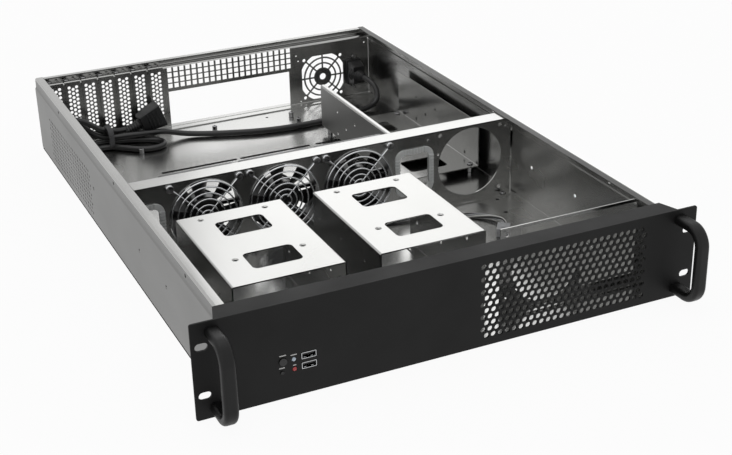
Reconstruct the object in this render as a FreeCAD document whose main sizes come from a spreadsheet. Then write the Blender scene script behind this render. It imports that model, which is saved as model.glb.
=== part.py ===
"""Empty 2U rackmount server case, open at the top.

A folded steel tray carries a black front panel with two handles, a fan wall with three
fans and one empty place, two drive cages, a rear drive tray, a rear panel with seven slot
covers, and the leads that stay in the case.

Millimetres. X runs across the rack, Y from the front panel to the rear, Z up from the
underside of the tray. The origin is under the middle of the whole case. Lengths along Y
are counted from the outer face of the front panel until a piece is placed.
"""
import FreeCAD, Part
import math
import os

Vector = FreeCAD.Vector

SIZES = {
    # tray
    "case_depth": 654.0,
    "case_width": 428.0,
    "case_height": 87.3,
    "steel": 1.2,
    "bend_radius": 0.8,
    "joggle_start": 75.0,
    "joggle_rise": 1.5,
    "side_flange": 8.8,
    "rail_hole_height": 43.0,
    "lid_hole_height": 81.0,
    # front panel and handles
    "panel_width": 482.6,
    "panel_height": 88.1,
    "panel_thickness": 2.0,
    "panel_flange_depth": 19.5,
    "panel_flange_width": 442.0,
    "panel_flange_rear_width": 429.4,
    "ear_slot_span": 465.1,
    "ear_slot_low": 21.83,
    "ear_slot_rise": 44.45,
    "ear_slot_height": 7.0,
    "ear_slot_length": 11.0,
    "handle_reach": 38.0,
    "handle_span": 446.0,
    "handle_height": 78.0,
    "handle_base": 5.0,
    "handle_width": 12.5,
    "handle_bar": 9.0,
    "handle_arm": 10.0,
    "handle_bend": 20.0,
    "vent_left": 24.2,
    "vent_right": 185.2,
    "vent_low": 9.8,
    "vent_high": 76.9,
    # front controls
    "button_radius": 3.5,
    "button_gap": 0.08,
    "button_travel": 1.2,
    "reset_radius": 1.5,
    "board_front": 15.0,
    "board_thickness": 1.6,
    "lamp_radius": 2.0,
    "usb_width": 13.1,
    "usb_height": 5.8,
    "usb_depth": 15.3,
    # power supply plate
    "supply_front": 42.0,
    "supply_left": 61.0,
    "supply_top": 86.0,
    # fan wall and fans
    "wall_front": 280.0,
    "wall_top": 86.0,
    "wall_flange": 21.0,
    "fan_side": 80.0,
    "fan_depth": 25.0,
    "fan_height": 44.7,
    "fan_hole": 76.0,
    "fan_bore": 77.0,
    "fan_pitch_hole": 71.5,
    "hub_radius": 18.0,
    "blade_reach": 36.4,
    "shaft_radius": 1.5,
    "shaft_gap": 0.05,
    "wire": 1.8,
    # drive cages
    "cage_width": 105.0,
    "cage_depth": 150.0,
    "cage_front": 62.5,
    "cage_top": 78.0,
    "cage_left_x": -131.5,
    "cage_right_x": 5.5,
    "foot": 10.0,
    "tray_x": 153.5,
    "tray_front": 338.0,
    "tray_depth": 200.0,
    "tray_bottom": 9.2,
    "tray_top": 61.5,
    "tray_lip": 5.0,
    # rear panel
    "rear_wall": 642.0,
    "rear_ledge": 78.5,
    "rear_lip": 8.0,
    "slot_pitch": 20.32,
    "slot_first": -192.9,
    "slot_width": 13.4,
    "slot_low": 14.0,
    "slot_high": 76.0,
    "cover_width": 18.4,
    "cover_low": 6.0,
    "port_left": -56.6,
    "port_width": 158.75,
    "port_low": 2.95,
    "port_height": 44.45,
    "grille_x": 148.0,
    "grille_z": 33.6,
    "grille_radius": 29.0,
    "inlet_x": 190.6,
    "inlet_z": 34.0,
    # leads
    "cord_thickness": 6.8,
    "lead_thickness": 5.0,
    # fasteners
    "screw_head": 3.0,
    "screw_rise": 1.6,
    "standoff_radius": 3.0,
    "standoff_height": 6.5,
}

document = FreeCAD.newDocument("server_case")
sheet = document.addObject("Spreadsheet::Sheet", "sizes")
for row, (alias, value) in enumerate(SIZES.items(), start=1):
    sheet.set(f"A{row}", alias)
    sheet.set(f"B{row}", f"{value:g}")
    sheet.setAlias(f"B{row}", alias)
document.recompute()

FRONT = "(sizes.handle_reach - sizes.case_depth) / 2"
CUT_MARGIN = 1.0
pieces = []


def size(alias):
    """Return a driving dimension from the sheet."""
    return float(sheet.get(alias))


# ---------------------------------------------------------------- outlines

def rounded_loop(points, radii, chords=4):
    """Return the edges of a closed outline, each round corner as a few even chords."""
    outline = []
    count = len(points)
    for index in range(count):
        corner = Vector(*points[index], 0)
        radius = radii[index]
        if radius == 0:
            outline.append(corner)
            continue
        before = (Vector(*points[index - 1], 0) - corner).normalize()
        after = (Vector(*points[(index + 1) % count], 0) - corner).normalize()
        half_angle = before.getAngle(after) / 2
        centre = corner + (before + after).normalize() * (radius / math.sin(half_angle))
        spoke = corner + before * (radius / math.tan(half_angle)) - centre
        turn = math.degrees(math.pi - 2 * half_angle)
        if before.cross(after).z > 0:
            turn = -turn
        for step in range(chords + 1):
            rotation = FreeCAD.Rotation(Vector(0, 0, 1), turn * step / chords)
            outline.append(centre + rotation.multVec(spoke))
    return [Part.LineSegment(a, b) for a, b in zip(outline, outline[1:] + outline[:1])]


def rectangle(left, low, right, high, radius=0.0):
    """Return a rectangle, with round corners where a radius is given."""
    corners = [(left, low), (right, low), (right, high), (left, high)]
    return rounded_loop(corners, [radius] * 4)


def cut_rectangle(left, low, right, high, cut):
    """Return a rectangle whose corners are cut off at 45 degrees."""
    corners = [
        (left + cut, low), (right - cut, low), (right, low + cut), (right, high - cut),
        (right - cut, high), (left + cut, high), (left, high - cut), (left, low + cut),
    ]
    return rounded_loop(corners, [0] * 8)


def polygon(x, y, reach, sides, turn=0.0, stretch=1.0):
    """Return a regular polygon, stretched along its second axis if asked."""
    corners = []
    for index in range(sides):
        angle = math.radians(turn + index * 360.0 / sides)
        corners.append((x + reach * math.cos(angle), y + reach * stretch * math.sin(angle)))
    return rounded_loop(corners, [0] * sides)


def circle(x, y, radius):
    """Return a full circle."""
    return [Part.Circle(Vector(x, y, 0), Vector(0, 0, 1), radius)]


def slot(x, y, length, width):
    """Return a round-ended slot that lies along the first axis."""
    reach = (length - width) / 2
    radius = width / 2
    return [
        Part.LineSegment(Vector(x - reach, y - radius, 0), Vector(x + reach, y - radius, 0)),
        Part.Arc(Vector(x + reach, y - radius, 0), Vector(x + reach + radius, y, 0),
                 Vector(x + reach, y + radius, 0)),
        Part.LineSegment(Vector(x + reach, y + radius, 0), Vector(x - reach, y + radius, 0)),
        Part.Arc(Vector(x - reach, y + radius, 0), Vector(x - reach - radius, y, 0),
                 Vector(x - reach, y - radius, 0)),
    ]


def sector(x, y, inner, outer, start, stop, chords=2):
    """Return the outline between two radii and two angles in degrees, as chords."""
    corners = []
    for radius, first, last in ((outer, start, stop), (inner, stop, start)):
        for step in range(chords + 1):
            angle = math.radians(first + (last - first) * step / chords)
            corners.append((x + radius * math.cos(angle), y + radius * math.sin(angle)))
    return rounded_loop(corners, [0] * len(corners))


def folded_section(path, bends):
    """Return the outline of a folded sheet whose outer face follows the path.

    The sheet's thickness lies to the left of the path. Corners whose number is in bends
    get the bend radius inside and that radius plus the thickness outside.
    """
    thickness = size("steel")
    inside = size("bend_radius")
    points = [Vector(*point, 0) for point in path]
    normals = []
    for first, second in zip(points, points[1:]):
        along = (second - first).normalize()
        normals.append(Vector(-along.y, along.x, 0))
    offset = [points[0] + normals[0] * thickness]
    for index in range(1, len(points) - 1):
        mean = (normals[index - 1] + normals[index]).normalize()
        offset.append(points[index] + mean * (thickness / mean.dot(normals[index])))
    offset.append(points[-1] + normals[-1] * thickness)
    near = []
    far = []
    for index in range(len(points)):
        if index not in bends:
            near.append(0)
            far.append(0)
            continue
        turn = normals[index - 1].cross(normals[index]).z
        near.append(inside + thickness if turn > 0 else inside)
        far.append(inside if turn > 0 else inside + thickness)
    corners = [(point.x, point.y) for point in points + offset[::-1]]
    return rounded_loop(corners, near + far[::-1], 2)


# ---------------------------------------------------------------- features

def new_body(name):
    """Start a sub-part."""
    body = document.addObject("PartDesign::Body", name)
    body.Label = name
    pieces.append(body)
    return body


def sketch_on(body, role, loops, offset=None):
    """Draw loops on one of the body's own origin planes, moved along its normal."""
    sketch = body.newObject("Sketcher::SketchObject", f"{body.Name}_sketch")
    for plane in body.Origin.OriginFeatures:
        if plane.Role == role:
            sketch.AttachmentSupport = [(plane, "")]
    sketch.MapMode = "FlatFace"
    if offset is not None:
        sketch.setExpression("AttachmentOffset.Base.z", offset)
    for loop in loops:
        sketch.addGeometry(loop, False)
    return sketch


def pad(body, sketch, length, reverse=False, middle=False):
    """Thicken a sketch by a length that is bound to the sheet."""
    feature = body.newObject("PartDesign::Pad", f"{body.Name}_pad")
    feature.Profile = sketch
    feature.setExpression("Length", length)
    feature.Reversed = reverse
    feature.Midplane = middle
    document.recompute()
    return feature


def cut(body, sketch, length, reverse=False, middle=False):
    """Cut a sketch out of the body and make sure that something went."""
    before = body.Shape.Volume
    feature = body.newObject("PartDesign::Pocket", f"{body.Name}_cut")
    feature.Profile = sketch
    feature.setExpression("Length", length)
    feature.Reversed = reverse
    feature.Midplane = middle
    document.recompute()
    if not body.Shape.Volume < before - 0.5:
        raise RuntimeError(f"{feature.Name} cuts nothing")
    return feature


def place(piece, x="0", y="0", z="0"):
    """Put a sub-part where the sheet says, with Y counted from the front panel."""
    piece.setExpression("Placement.Base.x", x)
    piece.setExpression("Placement.Base.y", f"{FRONT} + {y}")
    piece.setExpression("Placement.Base.z", z)


def group(name, members):
    """Join like pieces in one node of separate solids."""
    compound = document.addObject("Part::Compound", name)
    compound.Label = name
    compound.Links = members
    pieces.append(compound)
    return compound


def prisms(name, spots, axis, radius, rise, sides=6):
    """Make a group of prisms that stand on their spots along an axis."""
    members = []
    for index, spot in enumerate(spots):
        prism = document.addObject("Part::Prism", f"{name}_{index + 1}")
        prism.Polygon = sides
        prism.setExpression("Circumradius", radius)
        prism.setExpression("Height", rise)
        turn = FreeCAD.Rotation(Vector(0, 0, 1), Vector(*axis))
        prism.Placement = FreeCAD.Placement(Vector(*spot), turn)
        members.append(prism)
    place(group(name, members))


# ---------------------------------------------------------------- tray

def make_tray():
    """Fold the tray and cut its holes, floor slots and side perforations."""
    half = size("case_width") / 2
    steel = size("steel")
    low = size("joggle_start")
    high = low + size("joggle_rise")
    top = size("case_height")
    upper = half - steel
    end = upper - size("side_flange")
    path = [
        (-end, top), (-upper, top), (-upper, high), (-half, low), (-half, 0),
        (half, 0), (half, low), (upper, high), (upper, top), (end, top),
    ]
    body = new_body("chassis_tray")
    section = sketch_on(body, "XZ_Plane", [folded_section(path, {1, 4, 5, 8})])
    pad(body, section, "sizes.case_depth - sizes.panel_thickness", reverse=True)

    start = size("panel_thickness")
    notch_end = size("panel_flange_depth") + 0.2
    notch = rectangle(-CUT_MARGIN, top - steel - 0.05, notch_end, top + CUT_MARGIN)
    cut(body, sketch_on(body, "YZ_Plane", [notch]), "sizes.case_width + 10", middle=True)

    holes = []
    for along in (155.0, 238.0, 403.0):
        holes.append(polygon(along - start, size("rail_hole_height"), 2.2, 5))
    for along in (95.7, 318.0, 542.0):
        holes.append(polygon(along - start, size("lid_hole_height"), 2.0, 5))
    cut(body, sketch_on(body, "YZ_Plane", holes), "sizes.case_width + 10", middle=True)

    field = []
    for column in range(7):
        for row in range(3):
            along = 424.0 + column * 26.0 + (row % 2) * 13.0
            field.append(polygon(along - start, 16.0 + row * 17.0, 4.4, 4))
    cut(body, sketch_on(body, "YZ_Plane", field), "sizes.case_width / 2 + 5")

    slots = []
    for left, right in ((-112.2, -21.0), (-17.2, 71.2), (78.0, 166.0)):
        slots.append(cut_rectangle(left, 504.2 - start, right, 507.8 - start, 1.2))
    for across, along in ((179.0, 232.0), (188.0, 265.0)):
        slots.append(polygon(across, along - start, 2.2, 6))
    cut(body, sketch_on(body, "XY_Plane", slots, "sizes.steel + 1"), "sizes.steel + 2")
    place(body, y="sizes.panel_thickness")


# ---------------------------------------------------------------- front panel

def vent_holes():
    """Return the staggered air holes of the front panel."""
    left = size("vent_left")
    low = size("vent_low")
    rows = 6
    columns = 8
    step_up = (size("vent_high") - low) / (rows - 1)
    step_across = (size("vent_right") - left) / (columns - 0.5)
    holes = []
    for row in range(rows):
        for column in range(columns):
            across = left + (column + 0.5 * (row % 2)) * step_across
            holes.append(polygon(across, low + row * step_up, 7.4, 4))
    return holes


POWER_BUTTON = (-165.3, 34.9)
RESET_BUTTON = (-166.4, 25.0)
POWER_LAMP = (-155.7, 34.7)
DRIVE_LAMP = (-155.3, 25.5)
USB_UPPER = (-142.5, 36.0)
USB_LOWER = (-142.5, 26.8)


def make_front_panel():
    """Cut the panel with its vent, rack slots and controls, and fold its top flange."""
    half = size("panel_width") / 2
    height = size("panel_height")
    gap = size("button_gap")
    loops = [rectangle(-half, 0, half, height, 2.0)]
    loops += vent_holes()
    for side in (-1, 1):
        for row in (0, 1):
            across = side * size("ear_slot_span") / 2
            up = size("ear_slot_low") + row * size("ear_slot_rise")
            loops.append(slot(across, up, size("ear_slot_length"), size("ear_slot_height")))
    loops.append(polygon(*POWER_BUTTON, size("button_radius") + gap, 12))
    loops.append(polygon(*RESET_BUTTON, size("reset_radius") + gap, 12))
    for lamp in (POWER_LAMP, DRIVE_LAMP):
        loops.append(polygon(*lamp, size("lamp_radius") + gap, 8))
    reach = size("usb_width") / 2
    rise = size("usb_height") / 2
    for across, up in (USB_UPPER, USB_LOWER):
        loops.append(rectangle(across - reach, up - rise, across + reach, up + rise))
    body = new_body("front_panel")
    pad(body, sketch_on(body, "XZ_Plane", loops), "sizes.panel_thickness", reverse=True)

    wide = size("panel_flange_width") / 2
    narrow = size("panel_flange_rear_width") / 2
    front = size("panel_thickness") / 2
    rear = size("panel_thickness") + size("panel_flange_depth")
    corners = [(-wide, front), (wide, front), (narrow, rear), (-narrow, rear)]
    flange = sketch_on(body, "XY_Plane", [rounded_loop(corners, [0] * 4)],
                       "sizes.panel_height - sizes.panel_thickness")
    pad(body, flange, "sizes.panel_thickness")
    place(body)


def make_handle(name, side):
    """Bend one bar handle and ease its edges."""
    reach = size("handle_reach")
    height = size("handle_height")
    bar = size("handle_bar")
    arm = size("handle_arm")
    bend = size("handle_bend")
    outer = [(0, 0), (-reach, 0), (-reach, height), (0, height)]
    inner = [(0, height - arm), (bar - reach, height - arm), (bar - reach, arm), (0, arm)]
    inner_bend = bend - bar
    radii = [0, bend, bend, 0, 0, inner_bend, inner_bend, 0]
    body = new_body(name)
    loop = rounded_loop(outer + inner, radii)
    bar_pad = pad(body, sketch_on(body, "YZ_Plane", [loop]), "sizes.handle_width",
                  middle=True)
    half = size("handle_width") / 2
    edges = []
    for index, edge in enumerate(body.Shape.Edges, start=1):
        middle = edge.CenterOfMass
        if abs(abs(middle.x) - half) < 0.01 and middle.y < -0.01:
            edges.append(f"Edge{index}")
    chamfer = body.newObject("PartDesign::Chamfer", f"{name}_chamfer")
    chamfer.Base = (bar_pad, edges)
    chamfer.Size = 2.4
    document.recompute()
    place(body, x=f"{side} * sizes.handle_span / 2", z="sizes.handle_base")


# ---------------------------------------------------------------- front controls

def make_button(name, spot, radius):
    """Turn a push button: cap, collar behind the panel and stem."""
    body = new_body(name)
    cap = size("panel_thickness") + 1.2
    pad(body, sketch_on(body, "XZ_Plane", [polygon(0, 0, size(radius), 12)]),
        "sizes.panel_thickness + 1.2", reverse=True)
    collar = sketch_on(body, "XZ_Plane", [polygon(0, 0, size(radius) + 0.9, 8)], f"-{cap}")
    pad(body, collar, "1", reverse=True)
    stem = sketch_on(body, "XZ_Plane", [polygon(0, 0, 1.2, 6)], f"-{cap + 1.0}")
    pad(body, stem, "5", reverse=True)
    place(body, x=str(spot[0]), y="-1.1", z=str(spot[1]))


def make_lamp(name, spot):
    """Make a lamp that fills its hole, with two legs to the board."""
    body = new_body(name)
    radius = size("lamp_radius")
    pad(body, sketch_on(body, "XZ_Plane", [polygon(0, 0, radius, 8)]), "6", reverse=True)
    collar = sketch_on(body, "XZ_Plane", [polygon(0, 0, radius + 0.5, 8)], "-2.6")
    pad(body, collar, "1", reverse=True)
    legs = [rectangle(-0.9, -0.3, 0.9, 0.3)]
    pad(body, sketch_on(body, "XZ_Plane", legs, "-5.5"),
        "sizes.board_front - 4.9", reverse=True)
    place(body, x=str(spot[0]), y="-0.6", z=str(spot[1]))


def make_usb_port(name, spot):
    """Make one folded port shell with its contact tongue."""
    body = new_body(name)
    wide = size("usb_width") / 2
    rise = size("usb_height") / 2
    wall = 0.5
    shell = [
        rectangle(-wide, -rise, wide, rise),
        rectangle(wall - wide, wall - rise, wide - wall, rise - wall),
    ]
    pad(body, sketch_on(body, "XZ_Plane", shell), "sizes.usb_depth", reverse=True)
    back = sketch_on(body, "XZ_Plane", [rectangle(-wide, -rise, wide, rise)],
                     "1 - sizes.usb_depth")
    pad(body, back, "1", reverse=True)
    tongue = sketch_on(body, "XZ_Plane", [rectangle(-5.5, 0.1, 5.5, 1.9)], "-1.5")
    pad(body, tongue, "sizes.usb_depth - 2", reverse=True)
    place(body, x=str(spot[0]), y="sizes.board_front - sizes.usb_depth", z=str(spot[1]))


def make_front_board():
    """Make the board behind the controls with its switches, plug and two pillars."""
    body = new_body("front_io_board")
    left, right, low, high = -173.0, -134.0, 16.0, 46.0
    board = sketch_on(body, "XZ_Plane", [rectangle(left, low, right, high)],
                      "-sizes.board_front")
    pad(body, board, "sizes.board_thickness", reverse=True)
    pillars = [polygon(-170.0, 43.0, 2.4, 6), polygon(-137.0, 19.0, 2.4, 6)]
    pad(body, sketch_on(body, "XZ_Plane", pillars, "-sizes.panel_thickness"),
        "sizes.board_front - sizes.panel_thickness + 0.2", reverse=True)
    switches = []
    for across, up in (POWER_BUTTON, RESET_BUTTON):
        switches.append(rectangle(across - 3, up - 3, across + 3, up + 3))
    pad(body, sketch_on(body, "XZ_Plane", switches, "-10.6"), "4.6", reverse=True)
    plug = rectangle(-160.0, 17.0, -147.0, 24.0)
    pad(body, sketch_on(body, "XZ_Plane", [plug], "-sizes.board_front - 1"), "8",
        reverse=True)
    place(body)


# ---------------------------------------------------------------- power supply plate

def make_supply_plate():
    """Cut the plate that a power supply is screwed to, with its foot."""
    steel = size("steel")
    left = size("supply_left")
    right = size("case_width") / 2 - steel - 0.1
    top = size("supply_top")
    upper_right = right - steel
    joggle = size("joggle_start") - 1.0
    outline = [
        (left, steel), (right, steel), (right, joggle), (upper_right, joggle + 1.5),
        (upper_right, top), (left, top),
    ]
    body = new_body("psu_plate")
    opening_right = 206.0
    opening_top = 83.0
    circle_x, circle_z, circle_radius = 109.0, 40.0, 36.0
    step_x, step_z, tall_x, low_z = 82.0, 60.0, 146.0, 9.5
    corners = [
        (tall_x, step_z), (tall_x, low_z), (opening_right, low_z),
        (opening_right, opening_top), (step_x, opening_top),
    ]
    first = math.pi - math.acos((circle_x - step_x) / circle_radius)
    last = 2 * math.pi + math.asin((step_z - circle_z) / circle_radius)
    chords = 11
    for step in range(chords + 1):
        angle = first + (last - first) * step / chords
        corners.append((circle_x + circle_radius * math.cos(angle),
                        circle_z + circle_radius * math.sin(angle)))
    loops = [rounded_loop(outline, [0] * 6), rounded_loop(corners, [0] * len(corners))]
    for up in (17.0, 79.0):
        loops.append(polygon(68.0, up, 1.9, 6))
    pad(body, sketch_on(body, "XZ_Plane", loops), "sizes.steel", reverse=True)
    foot = rectangle(left, -size("foot"), right, 0.5)
    pad(body, sketch_on(body, "XY_Plane", [foot], "sizes.steel"), "sizes.steel")
    place(body, y="sizes.supply_front")


# ---------------------------------------------------------------- fan wall and fans

FAN_SPOTS = (-132.4, -50.0, 32.0)
EMPTY_SPOT = 162.2
CABLE_MID = (76.3, 22.8, 115.3, 69.7)
CABLE_LEFT = (-206.0, 22.8, -177.5, 65.3)


def make_fan_wall():
    """Cut the wall that carries the fans and fold its top flange and foot."""
    steel = size("steel")
    half = size("case_width") / 2 - 2 * steel - 0.1
    inner = size("case_width") / 2 - steel - size("side_flange") - 1.0
    trim = size("case_height") - steel - 0.7
    top = size("wall_top")
    outline = [
        (-half, steel), (half, steel), (half, trim), (inner, trim), (inner, top),
        (-inner, top), (-inner, trim), (-half, trim),
    ]
    loops = [rounded_loop(outline, [0] * 8)]
    pitch = size("fan_pitch_hole") / 2
    for across in FAN_SPOTS:
        loops.append(polygon(across, size("fan_height"), size("fan_hole") / 2, 20))
    loops.append(polygon(EMPTY_SPOT, size("fan_height"), size("fan_hole") / 2, 28))
    for side in (-1, 1):
        for up in (-1, 1):
            loops.append(circle(EMPTY_SPOT + side * pitch, size("fan_height") + up * pitch,
                                2.2))
    for left, low, right, high in (CABLE_MID, CABLE_LEFT):
        loops.append(cut_rectangle(left, low, right, high, 4.0))
    body = new_body("fan_wall")
    pad(body, sketch_on(body, "XZ_Plane", loops), "sizes.steel", reverse=True)
    flange = rectangle(-inner, 0.2, inner, size("wall_flange"))
    pad(body, sketch_on(body, "XY_Plane", [flange], "sizes.wall_top - sizes.steel"),
        "sizes.steel")
    foot = rectangle(-half, -size("foot"), half, 0.2)
    pad(body, sketch_on(body, "XY_Plane", [foot], "sizes.steel"), "sizes.steel")
    tabs = [rectangle(-half, steel / 2, -half + steel, 20.0),
            rectangle(half - steel, steel / 2, half, 20.0)]
    pad(body, sketch_on(body, "XY_Plane", tabs, "50"), "20")
    place(body, y="sizes.wall_front")


def make_edging(name, hole):
    """Make the plastic edging that grips the rim of a cable hole on both sides."""
    left, low, right, high = hole
    lip = 2.7
    body = new_body(name)

    def ring(outward):
        return [
            cut_rectangle(left - outward, low - outward, right + outward, high + outward,
                          4.0 + 0.4 * outward),
            cut_rectangle(left + lip, low + lip, right - lip, high - lip, 3.0),
        ]
    pad(body, sketch_on(body, "XZ_Plane", ring(0.0)), "3.6", reverse=True)
    pad(body, sketch_on(body, "XZ_Plane", ring(lip)), "1.2", reverse=True)
    pad(body, sketch_on(body, "XZ_Plane", ring(lip), "-2.4"), "1.2", reverse=True)
    place(body, y="sizes.wall_front - 1.2")


def make_fan_frame(name, across):
    """Mould a fan frame: two flanges, a duct and the motor carrier on four struts."""
    body = new_body(name)
    half = size("fan_side") / 2
    bore = size("fan_bore") / 2
    pitch = size("fan_pitch_hole") / 2
    holes = [polygon(x * pitch, z * pitch, 2.4, 4) for x in (-1, 1) for z in (-1, 1)]
    square = cut_rectangle(-half, -half, half, half, 3.0)
    mouth = polygon(0, 0, bore, 16)
    front = [square, mouth] + holes
    pad(body, sketch_on(body, "XZ_Plane", front), "4", reverse=True)
    duct = [polygon(0, 0, bore + 1.4, 16), mouth]
    pad(body, sketch_on(body, "XZ_Plane", duct, "-3.5"), "18", reverse=True)
    rear = [square, circle(0, 0, size("shaft_radius") + size("shaft_gap"))] + holes
    carrier = 19.0
    strut = 3.0
    for quarter in range(4):
        corners = []
        start = math.degrees(math.asin(strut / bore)) + quarter * 90.0
        for step in range(5):
            angle = math.radians(start + step * (90.0 - 2 * math.degrees(
                math.asin(strut / bore))) / 4)
            corners.append((bore * math.cos(angle), bore * math.sin(angle)))
        inner_start = math.degrees(math.asin(strut / carrier)) + quarter * 90.0
        for step in range(3):
            span = 90.0 - 2 * math.degrees(math.asin(strut / carrier))
            angle = math.radians(inner_start + (2 - step) * span / 2)
            corners.append((carrier * math.cos(angle), carrier * math.sin(angle)))
        rear.append(rounded_loop(corners, [0] * len(corners)))
    pad(body, sketch_on(body, "XZ_Plane", rear, "-21"), "sizes.fan_depth - 21", reverse=True)
    place(body, x=str(across), y="sizes.wall_front + sizes.steel", z="sizes.fan_height")


def make_fan_rotor(name, across):
    """Mould a rotor: hub, seven slanted blades and the shaft in the carrier's bearing."""
    body = new_body(name)
    hub = size("hub_radius")
    pad(body, sketch_on(body, "XZ_Plane", [polygon(0, 0, hub, 12)]), "18", reverse=True)
    slant = math.radians(38.0)
    chord = 17.0
    thick = 1.6
    along = Vector(math.cos(slant), math.sin(slant), 0)
    side = Vector(-along.y, along.x, 0)
    centre = Vector(9.5, 0, 0)
    corners = []
    for run, rise in ((-1, -1), (1, -1), (1, 1), (-1, 1)):
        point = centre + along * (run * chord / 2) + side * (rise * thick / 2)
        corners.append((point.x, point.y))
    blade_sketch = sketch_on(body, "YZ_Plane", [rounded_loop(corners, [0] * 4)],
                             "sizes.hub_radius - 2")
    blade = pad(body, blade_sketch, "sizes.blade_reach - sizes.hub_radius + 2")
    ring = body.newObject("PartDesign::PolarPattern", f"{name}_ring")
    ring.Originals = [blade]
    for axis in body.Origin.OriginFeatures:
        if axis.Role == "Y_Axis":
            ring.Axis = (axis, [""])
    ring.Occurrences = 7
    ring.Angle = 360.0
    body.Tip = ring
    document.recompute()
    shaft = sketch_on(body, "XZ_Plane", [circle(0, 0, size("shaft_radius"))], "-17")
    pad(body, shaft, "6.4", reverse=True)
    place(body, x=str(across), y="sizes.wall_front + sizes.steel + 1.6",
          z="sizes.fan_height")


def make_fan_guard(name, across):
    """Bend a wire guard: rings on crossed spokes that end at the four screws."""
    body = new_body(name)
    wire = size("wire")
    pitch = size("fan_pitch_hole") / 2
    reach = pitch * math.sqrt(2)
    spokes = []
    for turn in (45.0, 135.0):
        axis = Vector(math.cos(math.radians(turn)), math.sin(math.radians(turn)), 0)
        side = Vector(-axis.y, axis.x, 0) * (wire / 2)
        ends = [axis * -reach - side, axis * reach - side, axis * reach + side,
                axis * -reach + side]
        spokes.append([(point.x, point.y) for point in ends])
    for corners in spokes:
        pad(body, sketch_on(body, "XZ_Plane", [rounded_loop(corners, [0] * 4)]),
            "sizes.wire", reverse=True)
    rings = []
    for radius in (12.0, 25.0, 38.0):
        rings.append(polygon(0, 0, radius, 12))
        rings.append(polygon(0, 0, radius - wire, 12))
    pad(body, sketch_on(body, "XZ_Plane", rings, "sizes.wire / 2"), "sizes.wire",
        reverse=True)
    place(body, x=str(across), y="sizes.wall_front - sizes.wire", z="sizes.fan_height")


# ---------------------------------------------------------------- drive cages

def side_holes(rows, stations, radius):
    """Return round holes for a pair of side walls."""
    return [polygon(along, up, radius, 5) for up in rows for along in stations]


def make_drive_cage(name, across):
    """Fold a drive cage, open at the front and rear, with windows in its top."""
    half = size("cage_width") / 2
    foot = half - size("foot")
    top = size("cage_top") - size("steel")
    path = [(foot, 0), (half, 0), (half, top), (-half, top), (-half, 0), (-foot, 0)]
    body = new_body(name)
    pad(body, sketch_on(body, "XZ_Plane", [folded_section(path, {1, 2, 3, 4})]),
        "sizes.cage_depth", reverse=True)
    openings = []
    for start in (23.5, 95.5):
        openings.append(cut_rectangle(-23.25, start, 23.25, start + 32.3, 2.5))
    for side in (-31.6, 31.6):
        for along in (47.9, 140.2):
            openings.append(polygon(side, along, 2.6, 6))
    cut(body, sketch_on(body, "XY_Plane", openings, "sizes.cage_top"), "5")
    holes = side_holes((28.8, 54.8), (33.5, 84.5, 134.5), 1.9)
    cut(body, sketch_on(body, "YZ_Plane", holes), "sizes.cage_width + 10", middle=True)
    place(body, x=across, y="sizes.cage_front", z="sizes.steel")


def make_rear_tray():
    """Fold the rear drive tray, with windows in its floor and a lip on one wall."""
    half = size("cage_width") / 2
    top = size("tray_top") - size("tray_bottom")
    path = [
        (size("tray_lip") - half, top), (-half, top), (-half, 0), (half, 0), (half, top),
    ]
    body = new_body("rear_drive_tray")
    pad(body, sketch_on(body, "XZ_Plane", [folded_section(path, {1, 2, 3})]),
        "sizes.tray_depth", reverse=True)
    windows = [cut_rectangle(-23.0, start, 23.0, start + 32.0, 2.5)
               for start in (17.0, 142.0)]
    cut(body, sketch_on(body, "XY_Plane", windows, "sizes.steel + 1"), "sizes.steel + 2")
    holes = side_holes((6.8, 33.8), (31.0, 103.0, 152.0), 1.9)
    cut(body, sketch_on(body, "YZ_Plane", holes), "sizes.cage_width + 10", middle=True)
    place(body, x="sizes.tray_x", y="sizes.tray_front", z="sizes.tray_bottom")


# ---------------------------------------------------------------- rear panel

SLOT_COUNT = 7


def slot_centre(index):
    """Return the middle of a slot, counted from the left."""
    return size("slot_first") + index * size("slot_pitch")


def mesh_holes():
    """Return the square air holes above the port opening."""
    columns = 12
    rows = 2
    left = size("port_left")
    step = (size("port_width") + 4.4) / columns
    holes = []
    for row in range(rows):
        for column in range(columns):
            across = left - 0.8 + (column + 0.5) * step
            up = 58.2 + row * 13.6
            holes.append(rectangle(across - 5.1, up - 5.2, across + 5.1, up + 5.2))
    return holes


def grille_holes():
    """Return the openings between the rings and spokes of the rear fan grille."""
    bar = 2.6
    holes = []
    for inner, outer in ((7.0, 13.6), (15.4, 21.6), (23.4, size("grille_radius"))):
        chords = 1 if inner < 10 else 2
        for spoke in range(8):
            start = spoke * 45.0
            gap = math.degrees(bar / (inner + outer))
            holes.append(sector(size("grille_x"), size("grille_z"), inner, outer,
                                start + gap, start + 45.0 - gap, chords))
    return holes


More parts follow.
